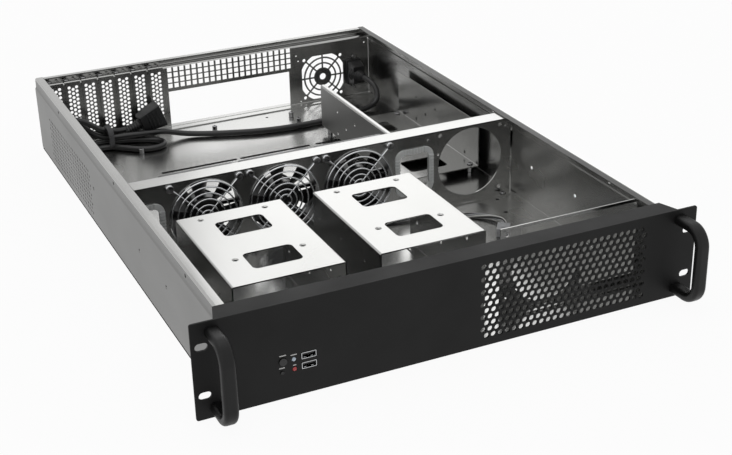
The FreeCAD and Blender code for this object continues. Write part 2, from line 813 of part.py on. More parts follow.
def make_rear_panel():
    """Fold the rear panel with its ledge, and cut every opening."""
    steel = size("steel")
    ledge = size("rear_ledge") - steel
    top = size("case_height") - steel
    reach = size("case_depth") - size("rear_wall")
    path = [
        (-size("foot"), 0), (steel, 0), (steel, ledge), (reach, ledge), (reach, top),
        (reach - size("rear_lip"), top),
    ]
    body = new_body("rear_panel")
    width = "sizes.case_width - 4 * sizes.steel - 0.2"
    pad(body, sketch_on(body, "YZ_Plane", [folded_section(path, {1, 2, 3, 4})]), width,
        middle=True)
    inner = size("case_width") / 2 - steel - size("side_flange") - 0.5
    outer = size("case_width") / 2
    corners = []
    for side in (-1, 1):
        ends = sorted((side * inner, side * outer))
        corners.append(rectangle(ends[0], top - steel - 0.05, ends[1], top + CUT_MARGIN))
    cut(body, sketch_on(body, "XZ_Plane", corners, "10"), "40")

    loops = []
    half = size("slot_width") / 2
    for index in range(SLOT_COUNT):
        middle = slot_centre(index)
        loops.append(rectangle(middle - half, size("slot_low"), middle + half,
                               size("slot_high")))
    left = size("port_left")
    low = size("port_low")
    loops.append(rectangle(left, low, left + size("port_width"), low + size("port_height")))
    loops += mesh_holes()
    loops += grille_holes()
    for across in (-25.0, 25.0):
        for up in (-25.0, 25.0):
            loops.append(circle(size("grille_x") + across, size("grille_z") + up, 2.1))
    inlet_x = size("inlet_x")
    inlet_z = size("inlet_z")
    loops.append(rectangle(inlet_x - 10.2, inlet_z - 13.8, inlet_x + 10.2, inlet_z + 13.8))
    shifted = sketch_on(body, "XZ_Plane", loops, "0.2")
    shifted.setExpression("AttachmentOffset.Base.y", "-sizes.steel")
    cut(body, shifted, "sizes.steel + 0.4")
    place(body, y="sizes.rear_wall", z="sizes.steel")


def make_slot_cover(index):
    """Fold one perforated slot cover with its tab on the ledge."""
    body = new_body(f"slot_cover_{index + 1}")
    half = size("cover_width") / 2
    low = size("cover_low")
    top = size("rear_ledge") + 2 * size("steel")
    loops = [rectangle(-half, low, half, top)]
    for column, shift in ((-4.45, 0.0), (0.0, 8.0), (4.45, 0.0)):
        for row in range(2):
            loops.append(polygon(column, 28.0 + shift + row * 26.0, 1.95, 4, stretch=5.4))
    pad(body, sketch_on(body, "XZ_Plane", loops), "sizes.steel", reverse=True)
    tab = rectangle(-half, 0.2, half, 11.8)
    pad(body, sketch_on(body, "XY_Plane", [tab], "sizes.rear_ledge + sizes.steel"),
        "sizes.steel")
    place(body, x=f"sizes.slot_first + {index} * sizes.slot_pitch",
          y="sizes.rear_wall - sizes.steel")


# ---------------------------------------------------------------- power lead

def box(name, corner, extent):
    """Return a plain block for a boolean, by its low corner and its extent."""
    block = document.addObject("Part::Box", name)
    block.Length, block.Width, block.Height = extent
    block.Placement.Base = Vector(*corner)
    return block


def fuse(name, members):
    """Fuse primitives into one sub-part."""
    joined = document.addObject("Part::MultiFuse", name)
    joined.Shapes = members
    return joined


def finish_piece(piece, name):
    """Give a boolean result its label and list it as a sub-part."""
    piece.Label = name
    pieces.append(piece)
    return piece


INLET_EXIT = (190.0, 622.0, 34.0)
RELIEF_LENGTH = 12.0


def make_inlet():
    """Mould the screwed inlet: flange, outer shroud with three pins, and inner block."""
    width = 20.0
    shroud = document.addObject("Part::Cut", "inlet_shroud")
    shroud.Base = box("inlet_outer", (-10.0, -2.5, -13.6), (width, 10.5, 27.2))
    shroud.Tool = box("inlet_cavity", (-8.4, -1.0, -12.0), (width - 3.2, 12.0, 24.0))
    members = [shroud]
    members.append(box("inlet_flange", (-10.0, -2.5, -25.0), (width, 2.5, 50.0)))
    members.append(box("inlet_block", (-8.5, -14.0, -14.0), (17.0, 12.0, 28.0)))
    for index, (across, up) in enumerate(((-3.0, -6.0), (3.0, 0.0), (-3.0, 6.0))):
        members.append(box(f"inlet_pin_{index + 1}", (across - 1.0, -2.0, up - 2.0),
                           (2.0, 8.0, 4.0)))
    relief = document.addObject("Part::Prism", "inlet_relief")
    relief.Polygon = CORD_SIDES
    relief.setExpression("Circumradius", "sizes.cord_thickness / 2 + 1.6")
    relief.Height = RELIEF_LENGTH
    base = Vector(INLET_EXIT[0] - size("inlet_x"), INLET_EXIT[1] - size("rear_wall"),
                  INLET_EXIT[2] - size("inlet_z"))
    axis = Vector(*INLET_HEADING).normalize()
    relief.Placement = FreeCAD.Placement(base - axis * RELIEF_LENGTH,
                                         FreeCAD.Rotation(Vector(0, 0, 1), axis))
    members.append(relief)
    inlet = finish_piece(fuse("inlet_connector", members), "inlet_connector")
    place(inlet, x="sizes.inlet_x", y="sizes.rear_wall", z="sizes.inlet_z")


INLET_HEADING = (5.0, -18.0, 0.0)
POWER_ROUTE = [
    INLET_EXIT, (195.0, 604.0, 34.0), (200.0, 590.0, 24.0), (197.0, 583.0, 10.5),
    (180.0, 578.5, 4.9), (150.0, 570.0, 4.8), (114.0, 565.0, 4.8), (72.0, 563.5, 4.8),
    (33.0, 569.5, 4.8), (4.0, 579.0, 4.8), (-22.0, 589.0, 4.8), (-46.0, 602.0, 5.0),
    (-66.0, 607.0, 6.5), (-86.0, 611.0, 10.5),
]
TAIL_ROUTE = [(-116.5, 619.5, 19.6), (-124.0, 617.5, 18.4), (-131.0, 616.0, 17.0)]


CORD_SIDES = 5


def cord_tube(name, route, thickness):
    """Sweep a plain five-sided lead along straight runs joined by tangent arcs."""
    points = [Vector(*point) for point in route]
    edges = []
    length = 0.0
    radii = []
    start = points[0]
    for index in range(1, len(points) - 1):
        before = points[index - 1] - points[index]
        after = points[index + 1] - points[index]
        half_turn = (math.pi - before.getAngle(after)) / 2
        reach = 0.45 * min(before.Length, after.Length)
        radius = reach / math.tan(half_turn)
        radii.append(round(radius, 1))
        before.normalize()
        after.normalize()
        entry = points[index] + before * reach
        leave = points[index] + after * reach
        centre = points[index] + (before + after).normalize() * (radius / math.cos(half_turn))
        middle = centre + (points[index] - centre).normalize() * radius
        edges.append(Part.LineSegment(start, entry).toShape())
        edges.append(Part.Arc(entry, middle, leave).toShape())
        length += (entry - start).Length + radius * 2 * half_turn
        start = leave
    edges.append(Part.LineSegment(start, points[-1]).toShape())
    length += (points[-1] - start).Length
    path = Part.Wire(edges)
    heading = points[1] - points[0]
    side = heading.cross(Vector(0, 0, 1)).normalize()
    above = side.cross(heading).normalize()
    rim = []
    for index in range(CORD_SIDES + 1):
        angle = 2 * math.pi * (index + 0.5) / CORD_SIDES
        spoke = side * math.cos(angle) + above * math.sin(angle)
        rim.append(points[0] + spoke * (thickness / 2))
    tube = path.makePipeShell([Part.makePolygon(rim)], True, False)
    section = CORD_SIDES * (thickness / 2) ** 2 * math.sin(2 * math.pi / CORD_SIDES) / 2
    expected = section * length
    print(f"{name}: length {length:.1f}, radii {radii}, volume {tube.Volume / expected:.4f}")
    if abs(tube.Volume / expected - 1) > 0.02:
        raise RuntimeError(f"{name} has the wrong volume")
    feature = document.addObject("Part::Feature", name)
    feature.Shape = tube
    finish_piece(feature, name)
    place(feature)


def make_hank():
    """Make the plain outer shape of the folded and tied cord."""
    body = new_body("cord_hank")
    side = [
        (-86.0, 1.4), (-86.0, 14.0), (-118.0, 16.0), (-136.0, 21.0), (-150.0, 28.0),
        (-168.0, 43.5), (-184.0, 46.0), (-194.0, 38.0), (-192.0, 22.0), (-178.0, 8.0),
        (-160.0, 1.4),
    ]
    pad(body, sketch_on(body, "XZ_Plane", [rounded_loop(side, [0] * len(side))], "-598"),
        "28", reverse=True)
    bow = [(-88.0, 600.0), (-100.0, 589.0), (-110.0, 586.0), (-120.0, 589.0),
           (-134.0, 600.0)]
    pad(body, sketch_on(body, "XY_Plane", [rounded_loop(bow, [0] * 5)], "1.4"), "7")
    place(body)


def make_tie():
    """Make the strap round the middle of the hank."""
    body = new_body("cord_tie")
    band = [
        cut_rectangle(596.8, 1.4, 627.2, 27.2, 2.0),
        cut_rectangle(598.4, 2.8, 625.6, 25.6, 1.5),
    ]
    pad(body, sketch_on(body, "YZ_Plane", band, "-148.5"), "12")
    place(body)


def make_socket():
    """Mould the cord socket with its relief, leaning on one lower edge."""
    body = box("socket_block", (0.0, -10.0, -14.0), (34.0, 20.0, 28.0))
    relief = document.addObject("Part::Prism", "socket_relief")
    relief.Polygon = 8
    relief.Circumradius = 5.2
    relief.Height = 16.0
    relief.Placement = FreeCAD.Placement(Vector(-15.5, 0, 0),
                                         FreeCAD.Rotation(Vector(0, 1, 0), 90))
    shell = fuse("socket_shell", [body, relief])
    slots = []
    for index, (across, up) in enumerate(((-3.0, -6.5), (3.0, 0.0), (-3.0, 6.5))):
        slots.append(box(f"socket_slot_{index + 1}", (26.0, across - 1.1, up - 2.3),
                         (9.0, 2.2, 4.6)))
    socket = document.addObject("Part::Cut", "cord_socket")
    socket.Base = shell
    socket.Tool = fuse("socket_slots", slots)
    finish_piece(socket, "cord_socket")
    place(socket, x="-101", y="622", z="20.6")
    socket.Placement.Rotation = FreeCAD.Rotation(Vector(0, 1, 0), 8.0)


# ---------------------------------------------------------------- front lead

LEAD_ROUTE = [
    (-153.5, 23.5, 20.5), (-152.0, 33.0, 16.5), (-146.0, 44.0, 8.0), (-128.0, 49.0, 4.2),
    (-104.0, 50.5, 4.0), (-82.0, 55.0, 4.0), (-66.0, 72.0, 4.0), (-62.0, 100.0, 4.0),
    (-64.0, 132.0, 4.0), (-62.5, 168.0, 4.0), (-62.0, 204.0, 4.0), (-52.0, 234.0, 4.0),
    (-26.0, 250.0, 4.0), (10.0, 258.0, 4.0), (46.0, 262.0, 4.0), (80.0, 262.0, 4.0),
    (110.0, 251.0, 4.0), (140.0, 238.0, 4.0), (159.0, 222.0, 4.2), (163.0, 205.0, 5.4),
    (155.0, 194.0, 6.0),
]


def make_lead_connector():
    """Make the small plug at the end of the front lead."""
    body = new_body("lead_connector")
    pad(body, sketch_on(body, "XZ_Plane", [rectangle(-6.5, -4.6, 6.5, 4.6)]), "17")
    body.Placement.Rotation = FreeCAD.Rotation(Vector(0, 0, 1), -35.0)
    place(body, x="154.6", y="193.4", z="6")


# ---------------------------------------------------------------- build

def make_screws():
    """Make the screws, hexagon pillars and standoffs, grouped by what they hold."""
    head = "sizes.screw_head"
    rise = "sizes.screw_rise"
    steel = size("steel")
    pitch = size("fan_pitch_hole") / 2
    wire = size("wire")
    guard_front = size("wall_front") - wire * 1.0
    spots = []
    for across in FAN_SPOTS:
        for x in (-pitch, pitch):
            for z in (-pitch, pitch):
                spots.append((across + x, guard_front, size("fan_height") + z))
    prisms("fan_screws", spots, (0, -1, 0), head, rise)
    spots = []
    for index in range(SLOT_COUNT):
        spots.append((slot_centre(index) - 6.0, 647.0, size("rear_ledge") + 2 * steel))
    prisms("slot_screws", spots, (0, 0, 1), "sizes.screw_head", rise)
    spots = []
    for up in (-20.0, 20.0):
        spots.append((size("inlet_x"), size("rear_wall") - 2.5, size("inlet_z") + up))
    prisms("inlet_screws", spots, (0, -1, 0), head, rise)
    spots = []
    for across in (-45.5, 45.5):
        for along in (size("tray_front") + 8.0, size("tray_front") + 192.0):
            spots.append((size("tray_x") + across, along, steel))
    prisms("tray_pillars", spots, (0, 0, 1), "sizes.standoff_radius",
           "sizes.tray_bottom - sizes.steel", 6)
    spots = [(88.0, 606.0, steel), (88.0, 582.0, steel), (-115.0, 575.0, steel),
             (88.0, 450.0, steel), (-13.0, 450.0, steel), (-115.0, 450.0, steel),
             (-13.0, 606.0, steel)]
    prisms("board_standoffs", spots, (0, 0, 1), "sizes.standoff_radius",
           "sizes.standoff_height", 6)


def make_case():
    """Build every sub-part."""
    make_tray()
    make_rear_panel()
    make_front_panel()
    make_supply_plate()
    make_handle("handle_left", -1)
    make_handle("handle_right", 1)
    make_fan_wall()
    make_edging("cable_edging_mid", CABLE_MID)
    make_edging("cable_edging_left", CABLE_LEFT)
    for index, across in enumerate(FAN_SPOTS, start=1):
        make_fan_frame(f"fan_frame_{index}", across)
        make_fan_rotor(f"fan_rotor_{index}", across)
        make_fan_guard(f"fan_guard_{index}", across)
    make_drive_cage("drive_cage_left", "sizes.cage_left_x")
    make_drive_cage("drive_cage_right", "sizes.cage_right_x")
    make_rear_tray()
    for index in range(SLOT_COUNT):
        make_slot_cover(index)
    make_button("power_button", POWER_BUTTON, "button_radius")
    make_button("reset_button", RESET_BUTTON, "reset_radius")
    make_lamp("power_led", POWER_LAMP)
    make_lamp("drive_led", DRIVE_LAMP)
    make_usb_port("usb_port_upper", USB_UPPER)
    make_usb_port("usb_port_lower", USB_LOWER)
    make_front_board()
    make_inlet()
    cord_tube("power_cord", POWER_ROUTE, size("cord_thickness"))
    cord_tube("cord_tail", TAIL_ROUTE, size("cord_thickness"))
    make_hank()
    make_tie()
    make_socket()
    cord_tube("front_lead", LEAD_ROUTE, size("lead_thickness"))
    make_lead_connector()
    make_screws()


def export_pieces():
    """Check every object, then write one STEP file for each sub-part."""
    document.recompute()
    for item in document.Objects:
        if "Invalid" in item.State or "Error" in item.State:
            raise RuntimeError(f"{item.Name} failed: {item.State}")
    for piece in pieces:
        if piece.Shape.isNull() or not piece.Shape.isValid():
            raise RuntimeError(f"{piece.Label} has no valid shape")
    os.makedirs("parts", exist_ok=True)
    for piece in pieces:
        piece.Shape.exportStep(f"parts/{piece.Label}.step")
    print(f"{len(pieces)} sub-parts written")


make_case()
export_pieces()
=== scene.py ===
"""Looks of an open two-unit rackmount server case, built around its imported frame."""
import logging
import math
from collections.abc import Callable, Sequence
from dataclasses import dataclass, field
from enum import Enum
from itertools import product

import bpy
from mathutils import Matrix, Vector


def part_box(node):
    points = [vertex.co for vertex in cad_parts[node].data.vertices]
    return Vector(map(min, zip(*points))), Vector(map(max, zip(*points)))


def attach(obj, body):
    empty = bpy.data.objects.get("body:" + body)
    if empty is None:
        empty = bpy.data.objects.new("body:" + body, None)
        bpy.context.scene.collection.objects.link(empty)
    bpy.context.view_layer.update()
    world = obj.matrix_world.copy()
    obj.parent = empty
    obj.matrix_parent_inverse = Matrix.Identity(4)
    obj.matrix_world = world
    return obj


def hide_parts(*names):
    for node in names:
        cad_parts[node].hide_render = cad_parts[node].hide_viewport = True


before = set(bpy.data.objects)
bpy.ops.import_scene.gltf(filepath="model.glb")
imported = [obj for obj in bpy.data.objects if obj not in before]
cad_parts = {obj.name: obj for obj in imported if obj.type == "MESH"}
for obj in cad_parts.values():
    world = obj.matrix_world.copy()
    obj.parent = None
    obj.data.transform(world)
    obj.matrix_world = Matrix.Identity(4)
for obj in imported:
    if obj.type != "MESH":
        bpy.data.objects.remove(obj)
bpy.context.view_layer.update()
LOG = logging.getLogger("server_case")

MM = 0.001
PANEL_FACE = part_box("front_panel")[0][1] / MM
CASE = "case"
Piece = bpy.types.Object
Tree = bpy.types.NodeTree
Socket = bpy.types.NodeSocket
Pair = tuple[float, float]
Point = tuple[float, float, float]
Loop = Sequence[Pair]

# The gauge of the case's folded sheet, in millimetres as all sizes below.
GAUGE = 1.2
FAN_NUMBERS = (1, 2, 3)
SLOT_NUMBERS = range(1, 8)
SIDES = (-1, 1)
CORNERS = tuple(product(SIDES, repeat=2))
X_AXIS, Y_AXIS, Z_AXIS = range(3)
UP: Point = (0.0, 0.0, 1.0)
DOWN: Point = (0.0, 0.0, -1.0)
FORWARD: Point = (0.0, -1.0, 0.0)


# ------------------------------------------------------------------ places

def spot(x: float, y: float, z: float) -> Vector:
    """Return a place in metres, from millimetres with y counted from the panel's face."""
    return Vector((x, y + PANEL_FACE, z)) * MM


def node_box(node: str) -> tuple[Vector, Vector]:
    """Return a CAD node's box.

    Args:
        node: The node's name.

    Returns:
        Its lowest and highest corners in millimetres, y counted from the panel's face.
    """
    shift = Vector((0.0, PANEL_FACE, 0.0))
    low, high = (Vector(corner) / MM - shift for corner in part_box(node))
    return low, high


def node_middle(node: str) -> Vector:
    """Return the middle of a CAD node's box in millimetres."""
    low, high = node_box(node)
    return (low + high) / 2


def mirrored(inner: float, outer: float) -> Loop:
    """Return the stretches between two distances from the middle, the left one first."""
    return ((-outer, -inner), (inner, outer))


# ------------------------------------------------------------------ bench work

def clear_selection() -> None:
    """Leave edit mode and deselect everything."""
    if bpy.context.mode != "OBJECT":
        bpy.ops.object.mode_set(mode="OBJECT")
    bpy.ops.object.select_all(action="DESELECT")


def take(piece: Piece) -> Piece:
    """Select one piece alone and make it active.

    Args:
        piece: The piece.

    Returns:
        The same piece.
    """
    clear_selection()
    piece.select_set(True)
    bpy.context.view_layer.objects.active = piece
    return piece


def settle(name: str) -> Piece:
    """Name the new active object and move its place into its mesh.

    Args:
        name: The name of the object and its mesh.

    Returns:
        The object.
    """
    piece = bpy.context.view_layer.objects.active
    bpy.ops.object.transform_apply(location=True, rotation=True, scale=True)
    piece.name = piece.data.name = name
    return piece


def apply(piece: Piece, kind: str, **settings: object) -> None:
    """Add a modifier with its settings and apply it.

    Args:
        piece: The piece that is changed.
        kind: The modifier's type.
        settings: The modifier's properties.
    """
    take(piece)
    modifier = piece.modifiers.new(kind.lower(), kind)
    for key, value in settings.items():
        setattr(modifier, key, value)
    bpy.ops.object.modifier_apply(modifier=modifier.name)


def add_block(name: str, low: Point, high: Point) -> Piece:
    """Add a block.

    Args:
        name: The piece's name.
        low, high: Its two opposite corners in millimetres.

    Returns:
        The block, with its place in its mesh.
    """
    clear_selection()
    first, last = spot(*low), spot(*high)
    bpy.ops.mesh.primitive_cube_add(size=1.0, location=(first + last) / 2)
    bpy.context.view_layer.objects.active.scale = last - first
    return settle(name)


def add_slab(name: str, across: float, up: float, ends: Pair, half: Pair) -> Piece:
    """Add a block by its middle in X and Z, its ends in Y, and half its width and height."""
    return add_block(name, (across - half[0], ends[0], up - half[1]),
                     (across + half[0], ends[1], up + half[1]))


def add_rod(name: str, start: Point, end: Point, radius: float, sides: int = 24,
            end_radius: float | None = None) -> Piece:
    """Add a rod or a cone between two places.

    Args:
        name: The piece's name.
        start, end: The middles of its ends in millimetres.
        radius: Its radius at the start.
        sides: How many sides it has.
        end_radius: Its radius at the end, where that differs.

    Returns:
        The rod, with its place in its mesh.
    """
    clear_selection()
    first, last = spot(*start), spot(*end)
    along = last - first
    far = radius if end_radius is None else end_radius
    bpy.ops.mesh.primitive_cone_add(
        vertices=sides, radius1=radius * MM, radius2=far * MM, depth=along.length,
        location=(first + last) / 2, rotation=along.to_track_quat("Z", "Y").to_euler())
    return settle(name)


def add_pin(name: str, across: float, up: float, ends: Pair, radius: float,
            sides: int = 24, end_radius: float | None = None) -> Piece:
    """Add a rod or a cone along Y by its place in X and Z and its ends."""
    return add_rod(name, (across, ends[0], up), (across, ends[1], up), radius, sides,
                   end_radius)


def add_ring(name: str, middle: Point, axis: Point, radius: float, wire: float,
             steps: int = 64) -> Piece:
    """Add a wire ring.

    Args:
        name: The piece's name.
        middle: Its middle in millimetres.
        axis: The way that it faces.
        radius: The radius of the wire's own middle.
        wire: The wire's thickness.
        steps: How many steps it has round its axis.

    Returns:
        The ring, with its place in its mesh.
    """
    clear_selection()
    bpy.ops.mesh.primitive_torus_add(
        major_radius=radius * MM, minor_radius=wire * MM / 2, major_segments=steps,
        minor_segments=8, location=spot(*middle),
        rotation=Vector(axis).to_track_quat("Z", "Y").to_euler())
    return settle(name)


def pick(piece: Piece, test: Callable[..., bool], edges: bool = False) -> None:
    """Select the vertices or edges that pass a test, and enter edit mode.

    Args:
        piece: The piece.
        test: Takes a vertex's place, or the places of an edge's two ends.
        edges: Whether edges are selected.
    """
    take(piece)
    bpy.ops.object.mode_set(mode="EDIT")
    bpy.ops.mesh.select_mode(type="EDGE" if edges else "VERT")
    bpy.ops.mesh.select_all(action="DESELECT")
    bpy.ops.object.mode_set(mode="OBJECT")
    vertices = piece.data.vertices
    for part in piece.data.edges if edges else vertices:
        ends = part.vertices if edges else (part.index,)
        part.select = test(*(vertices[index].co for index in ends))
    bpy.ops.object.mode_set(mode="EDIT")


def round_edges(piece: Piece, axis: int, radius: float, steps: int = 4) -> Piece:
    """Round the edges of a piece that run along one axis.

    Args:
        piece: The piece.
        axis: The axis, counted from X_AXIS.
        radius: The corner radius in millimetres.
        steps: How many steps the round takes.

    Returns:
        The same piece.
    """
    def runs_along(first: Vector, last: Vector) -> bool:
        """Tell whether an edge runs along the axis."""
        along = last - first
        return abs(along[axis]) > 0.999 * along.length
    pick(piece, runs_along, edges=True)
    bpy.ops.mesh.bevel(offset=radius * MM, segments=steps, affect="EDGES")
    bpy.ops.object.mode_set(mode="OBJECT")
    return piece


def soften(piece: Piece, radius: float, steps: int = 2, angle: float = 40.0) -> Piece:
    """Ease every edge that is sharper than an angle, by a radius in millimetres."""
    apply(piece, "BEVEL", width=radius * MM, segments=steps, limit_method="ANGLE",
          angle_limit=math.radians(angle), use_clamp_overlap=True)
    return piece


def put(piece: Piece, place: Matrix) -> Piece:
    """Move and turn a piece and keep its place in its mesh.

    Args:
        piece: The piece.
        place: The matrix that moves and turns it, in metres.

    Returns:
        The same piece.
    """
    take(piece)
    piece.matrix_world = place
    bpy.ops.object.transform_apply(location=True, rotation=True, scale=True)
    return piece


def turn_piece(piece: Piece, degrees: float, middle: Point, axis: str) -> Piece:
    """Turn a piece.

    Args:
        piece: The piece.
        degrees: How far it turns.
        middle: A place on the axis, in millimetres.
        axis: X, Y or Z.

    Returns:
        The same piece.
    """
    centre = spot(*middle)
    turn = Matrix.Rotation(math.radians(degrees), 4, axis)
    return put(piece, Matrix.Translation(centre) @ turn @ Matrix.Translation(-centre))


def copy_piece(piece: Piece, name: str, shift: Point) -> Piece:
    """Copy a piece with its mesh.

    Args:
        piece: The piece.
        name: The copy's name.
        shift: How far the copy is moved, in millimetres.

    Returns:
        The copy.
    """
    twin = piece.copy()
    twin.data = piece.data.copy()
    twin.name = twin.data.name = name
    bpy.context.scene.collection.objects.link(twin)
    return put(twin, Matrix.Translation(Vector(shift) * MM))


def copy_to(piece: Piece, places: Sequence[Point]) -> Piece:
    """Copy a piece to more places and join the copies to it.

    Args:
        piece: The piece, which stands at the first place.
        places: All the places in millimetres.

    Returns:
        The same piece.
    """
    first = Vector(places[0])
    twins = [copy_piece(piece, f"{piece.name}_{index}", tuple(Vector(place) - first))
             for index, place in enumerate(places[1:], start=1)]
    return join(piece.name, [piece, *twins])


def repeat(piece: Piece, count: int, step: Point) -> Piece:
    """Repeat a piece along a step in millimetres, within its own mesh."""
    apply(piece, "ARRAY", count=count, use_relative_offset=False,
          use_constant_offset=True, constant_offset_displace=Vector(step) * MM)
    return piece


def ring_of(piece: Piece, count: int, middle: Point) -> Piece:
    """Repeat a piece evenly round an axis along Y.

    Args:
        piece: The piece.
        count: How many there are in all.
        middle: A place on the axis, in millimetres.

    Returns:
        The same piece, with its copies joined to it.
    """
    twins = [piece]
    for index in range(1, count):
        twin = copy_piece(piece, f"{piece.name}_{index}", (0, 0, 0))
        twins.append(turn_piece(twin, 360.0 * index / count, middle, "Y"))
    return join(piece.name, twins)


def join(name: str, pieces: Sequence[Piece]) -> Piece:
    """Join pieces into the first one.

    Args:
        name: Its name from then on.
        pieces: The pieces.

    Returns:
        The first piece.
    """
    take(pieces[0])
    for piece in pieces:
        piece.select_set(True)
    if len(pieces) > 1:
        bpy.ops.object.join()
    pieces[0].name = pieces[0].data.name = name
    return pieces[0]


def combine(piece: Piece, others: Sequence[Piece], operation: str = "DIFFERENCE",
            overlapping: bool = False) -> Piece:
    """Cut other solids out of a piece, or keep or add them.

    Args:
        piece: The piece that stays.
        others: The solids, which are used up.
        operation: DIFFERENCE, INTERSECT or UNION.
        overlapping: Whether the solids overlap each other.

    Returns:
        The piece.
    """
    tool = join(f"{piece.name}_tool", others)
    apply(piece, "BOOLEAN", object=tool, operation=operation, solver="EXACT",
          use_self=overlapping)
    bpy.data.objects.remove(tool, do_unlink=True)
    if not piece.data.polygons:
        raise RuntimeError(f"{piece.name} lost its shape in a cut")
    return piece


def fold_sheet(name: str, path: Sequence[Point], run: Point, inward: Point,
               bend: float = 2.0, gauge: float = GAUGE) -> Piece:
    """Fold a sheet along a path and give it its gauge.

    Args:
        name: The piece's name.
        path: Corners of its outer face in millimetres, at one end of the run.
        run: The way and length that the profile runs, in millimetres.
        inward: The way that the thickness goes at the first face.
        bend: The outer bend radius.
        gauge: The sheet's thickness.

    Returns:
        The folded sheet.
    """
    clear_selection()
    corners = [spot(*place) for place in path]
    length = Vector(run) * MM
    side = corners[1] - corners[0]
    ways = (side.normalized(), length.normalized(), side.cross(length).normalized())
    bpy.ops.mesh.primitive_plane_add(
        size=1.0, location=(corners[0] + corners[1] + length) / 2,
        rotation=Matrix(ways).transposed().to_euler())
    bpy.context.view_layer.objects.active.scale = (side.length, length.length, 1.0)
    piece = settle(name)
    near = MM * 0.01
    for before, after in zip(corners[1:], corners[2:]):
        def on_edge(place: Vector, edge: Vector = before) -> bool:
            """Tell whether a vertex is an end of the sheet's last edge."""
            return (place - edge).length < near or (place - edge - length).length < near
        pick(piece, on_edge)
        bpy.ops.mesh.extrude_region_move(
            TRANSFORM_OT_translate={"value": after - before})
    bpy.ops.object.mode_set(mode="OBJECT")
    piece.data.update()
    outward = piece.data.polygons[0].normal.dot(Vector(inward)) < 0
    soften(piece, bend, steps=3, angle=60.0)
    soften(piece, bend * 0.4, steps=2, angle=35.0)
    apply(piece, "SOLIDIFY", thickness=gauge * MM, offset=-1.0 if outward else 1.0,
          use_even_offset=True)
    return face_out(piece)


def face_out(piece: Piece) -> Piece:
    """Turn all faces of a closed piece outward.

    Args:
        piece: The piece.

    Returns:
        The same piece.
    """
    take(piece)
    bpy.ops.object.mode_set(mode="EDIT")
    bpy.ops.mesh.select_all(action="SELECT")
    bpy.ops.mesh.normals_make_consistent(inside=False)
    bpy.ops.object.mode_set(mode="OBJECT")
    return piece


def hole_field(hole: Piece, counts: tuple[int, int], steps: tuple[Point, Point],
               stagger: Point) -> list[Piece]:
    """Repeat a hole's cutter to a staggered field.

    Args:
        hole: The cutter of the first hole.
        counts: How many holes lie along the two steps.
        steps: The two steps in millimetres.
        stagger: How far the second set lies from the first.

    Returns:
        Two cutters, one for each set.
    """
    for count, step in zip(counts, steps):
        repeat(hole, count, step)
    return [hole, copy_piece(hole, f"{hole.name}_between", stagger)]


# ------------------------------------------------------------------ finishes

def to_linear(colour: str) -> tuple[float, float, float, float]:
    """Turn an sRGB colour into a linear one.

    Args:
        colour: A hash and six hexadecimal digits.

    Returns:
        Red, green, blue and alpha.
    """
    channels = []
    for index in (1, 3, 5):
        level = int(colour[index:index + 2], 16) / 255
        channels.append(level / 12.92 if level <= 0.04045
                        else ((level + 0.055) / 1.055) ** 2.4)
    return (*channels, 1.0)


def add_node(tree: Tree, kind: str, settings: dict[str, object],
             links: dict[str | int, Socket] | None = None) -> bpy.types.Node:
    """Add a shader node.

    Args:
        tree: The node tree that takes it.
        kind: The node's type.
        settings: Values by input name, or by property name where no input has it.
        links: Sockets to connect, by the input's name or number.

    Returns:
        The node.
    """
    node = tree.nodes.new(kind)
    for key, value in settings.items():
        if hasattr(node, key):
            setattr(node, key, value)
    for key, value in settings.items():
        if key in node.inputs:
            node.inputs[key].default_value = value
    for key, socket in (links or {}).items():
        tree.links.new(socket, node.inputs[key])
    return node


def add_maths(tree: Tree, operation: str, *values: Socket | float) -> Socket:
    """Add a maths node.

    Args:
        tree: The node tree that takes it.
        operation: What it does.
        values: What it does it to, sockets or numbers.

    Returns:
        Its result.
    """
    node = add_node(tree, "ShaderNodeMath", {"operation": operation})
    for index, value in enumerate(values):
        if isinstance(value, float):
            node.inputs[index].default_value = value
        else:
            tree.links.new(value, node.inputs[index])
    return node.outputs["Value"]


def add_range(tree: Tree, share: Socket, start: float, end: float,
              reach: Pair = (0.0, 1.0)) -> Socket:
    """Return a value that runs from start to end as a share runs through its reach."""
    return add_node(tree, "ShaderNodeMapRange", {
        "From Min": reach[0], "From Max": reach[1], "To Min": start, "To Max": end},
        {"Value": share}).outputs["Result"]


def even(size: float) -> Point:
    """Return a size that is the same along X, Y and Z."""
    return (size, size, size)


class Pattern(Enum):
    """How a finish's fine grain is laid."""

    CLOUD = "cloud"
    WEAVE = "weave"
    CELL = "cell"


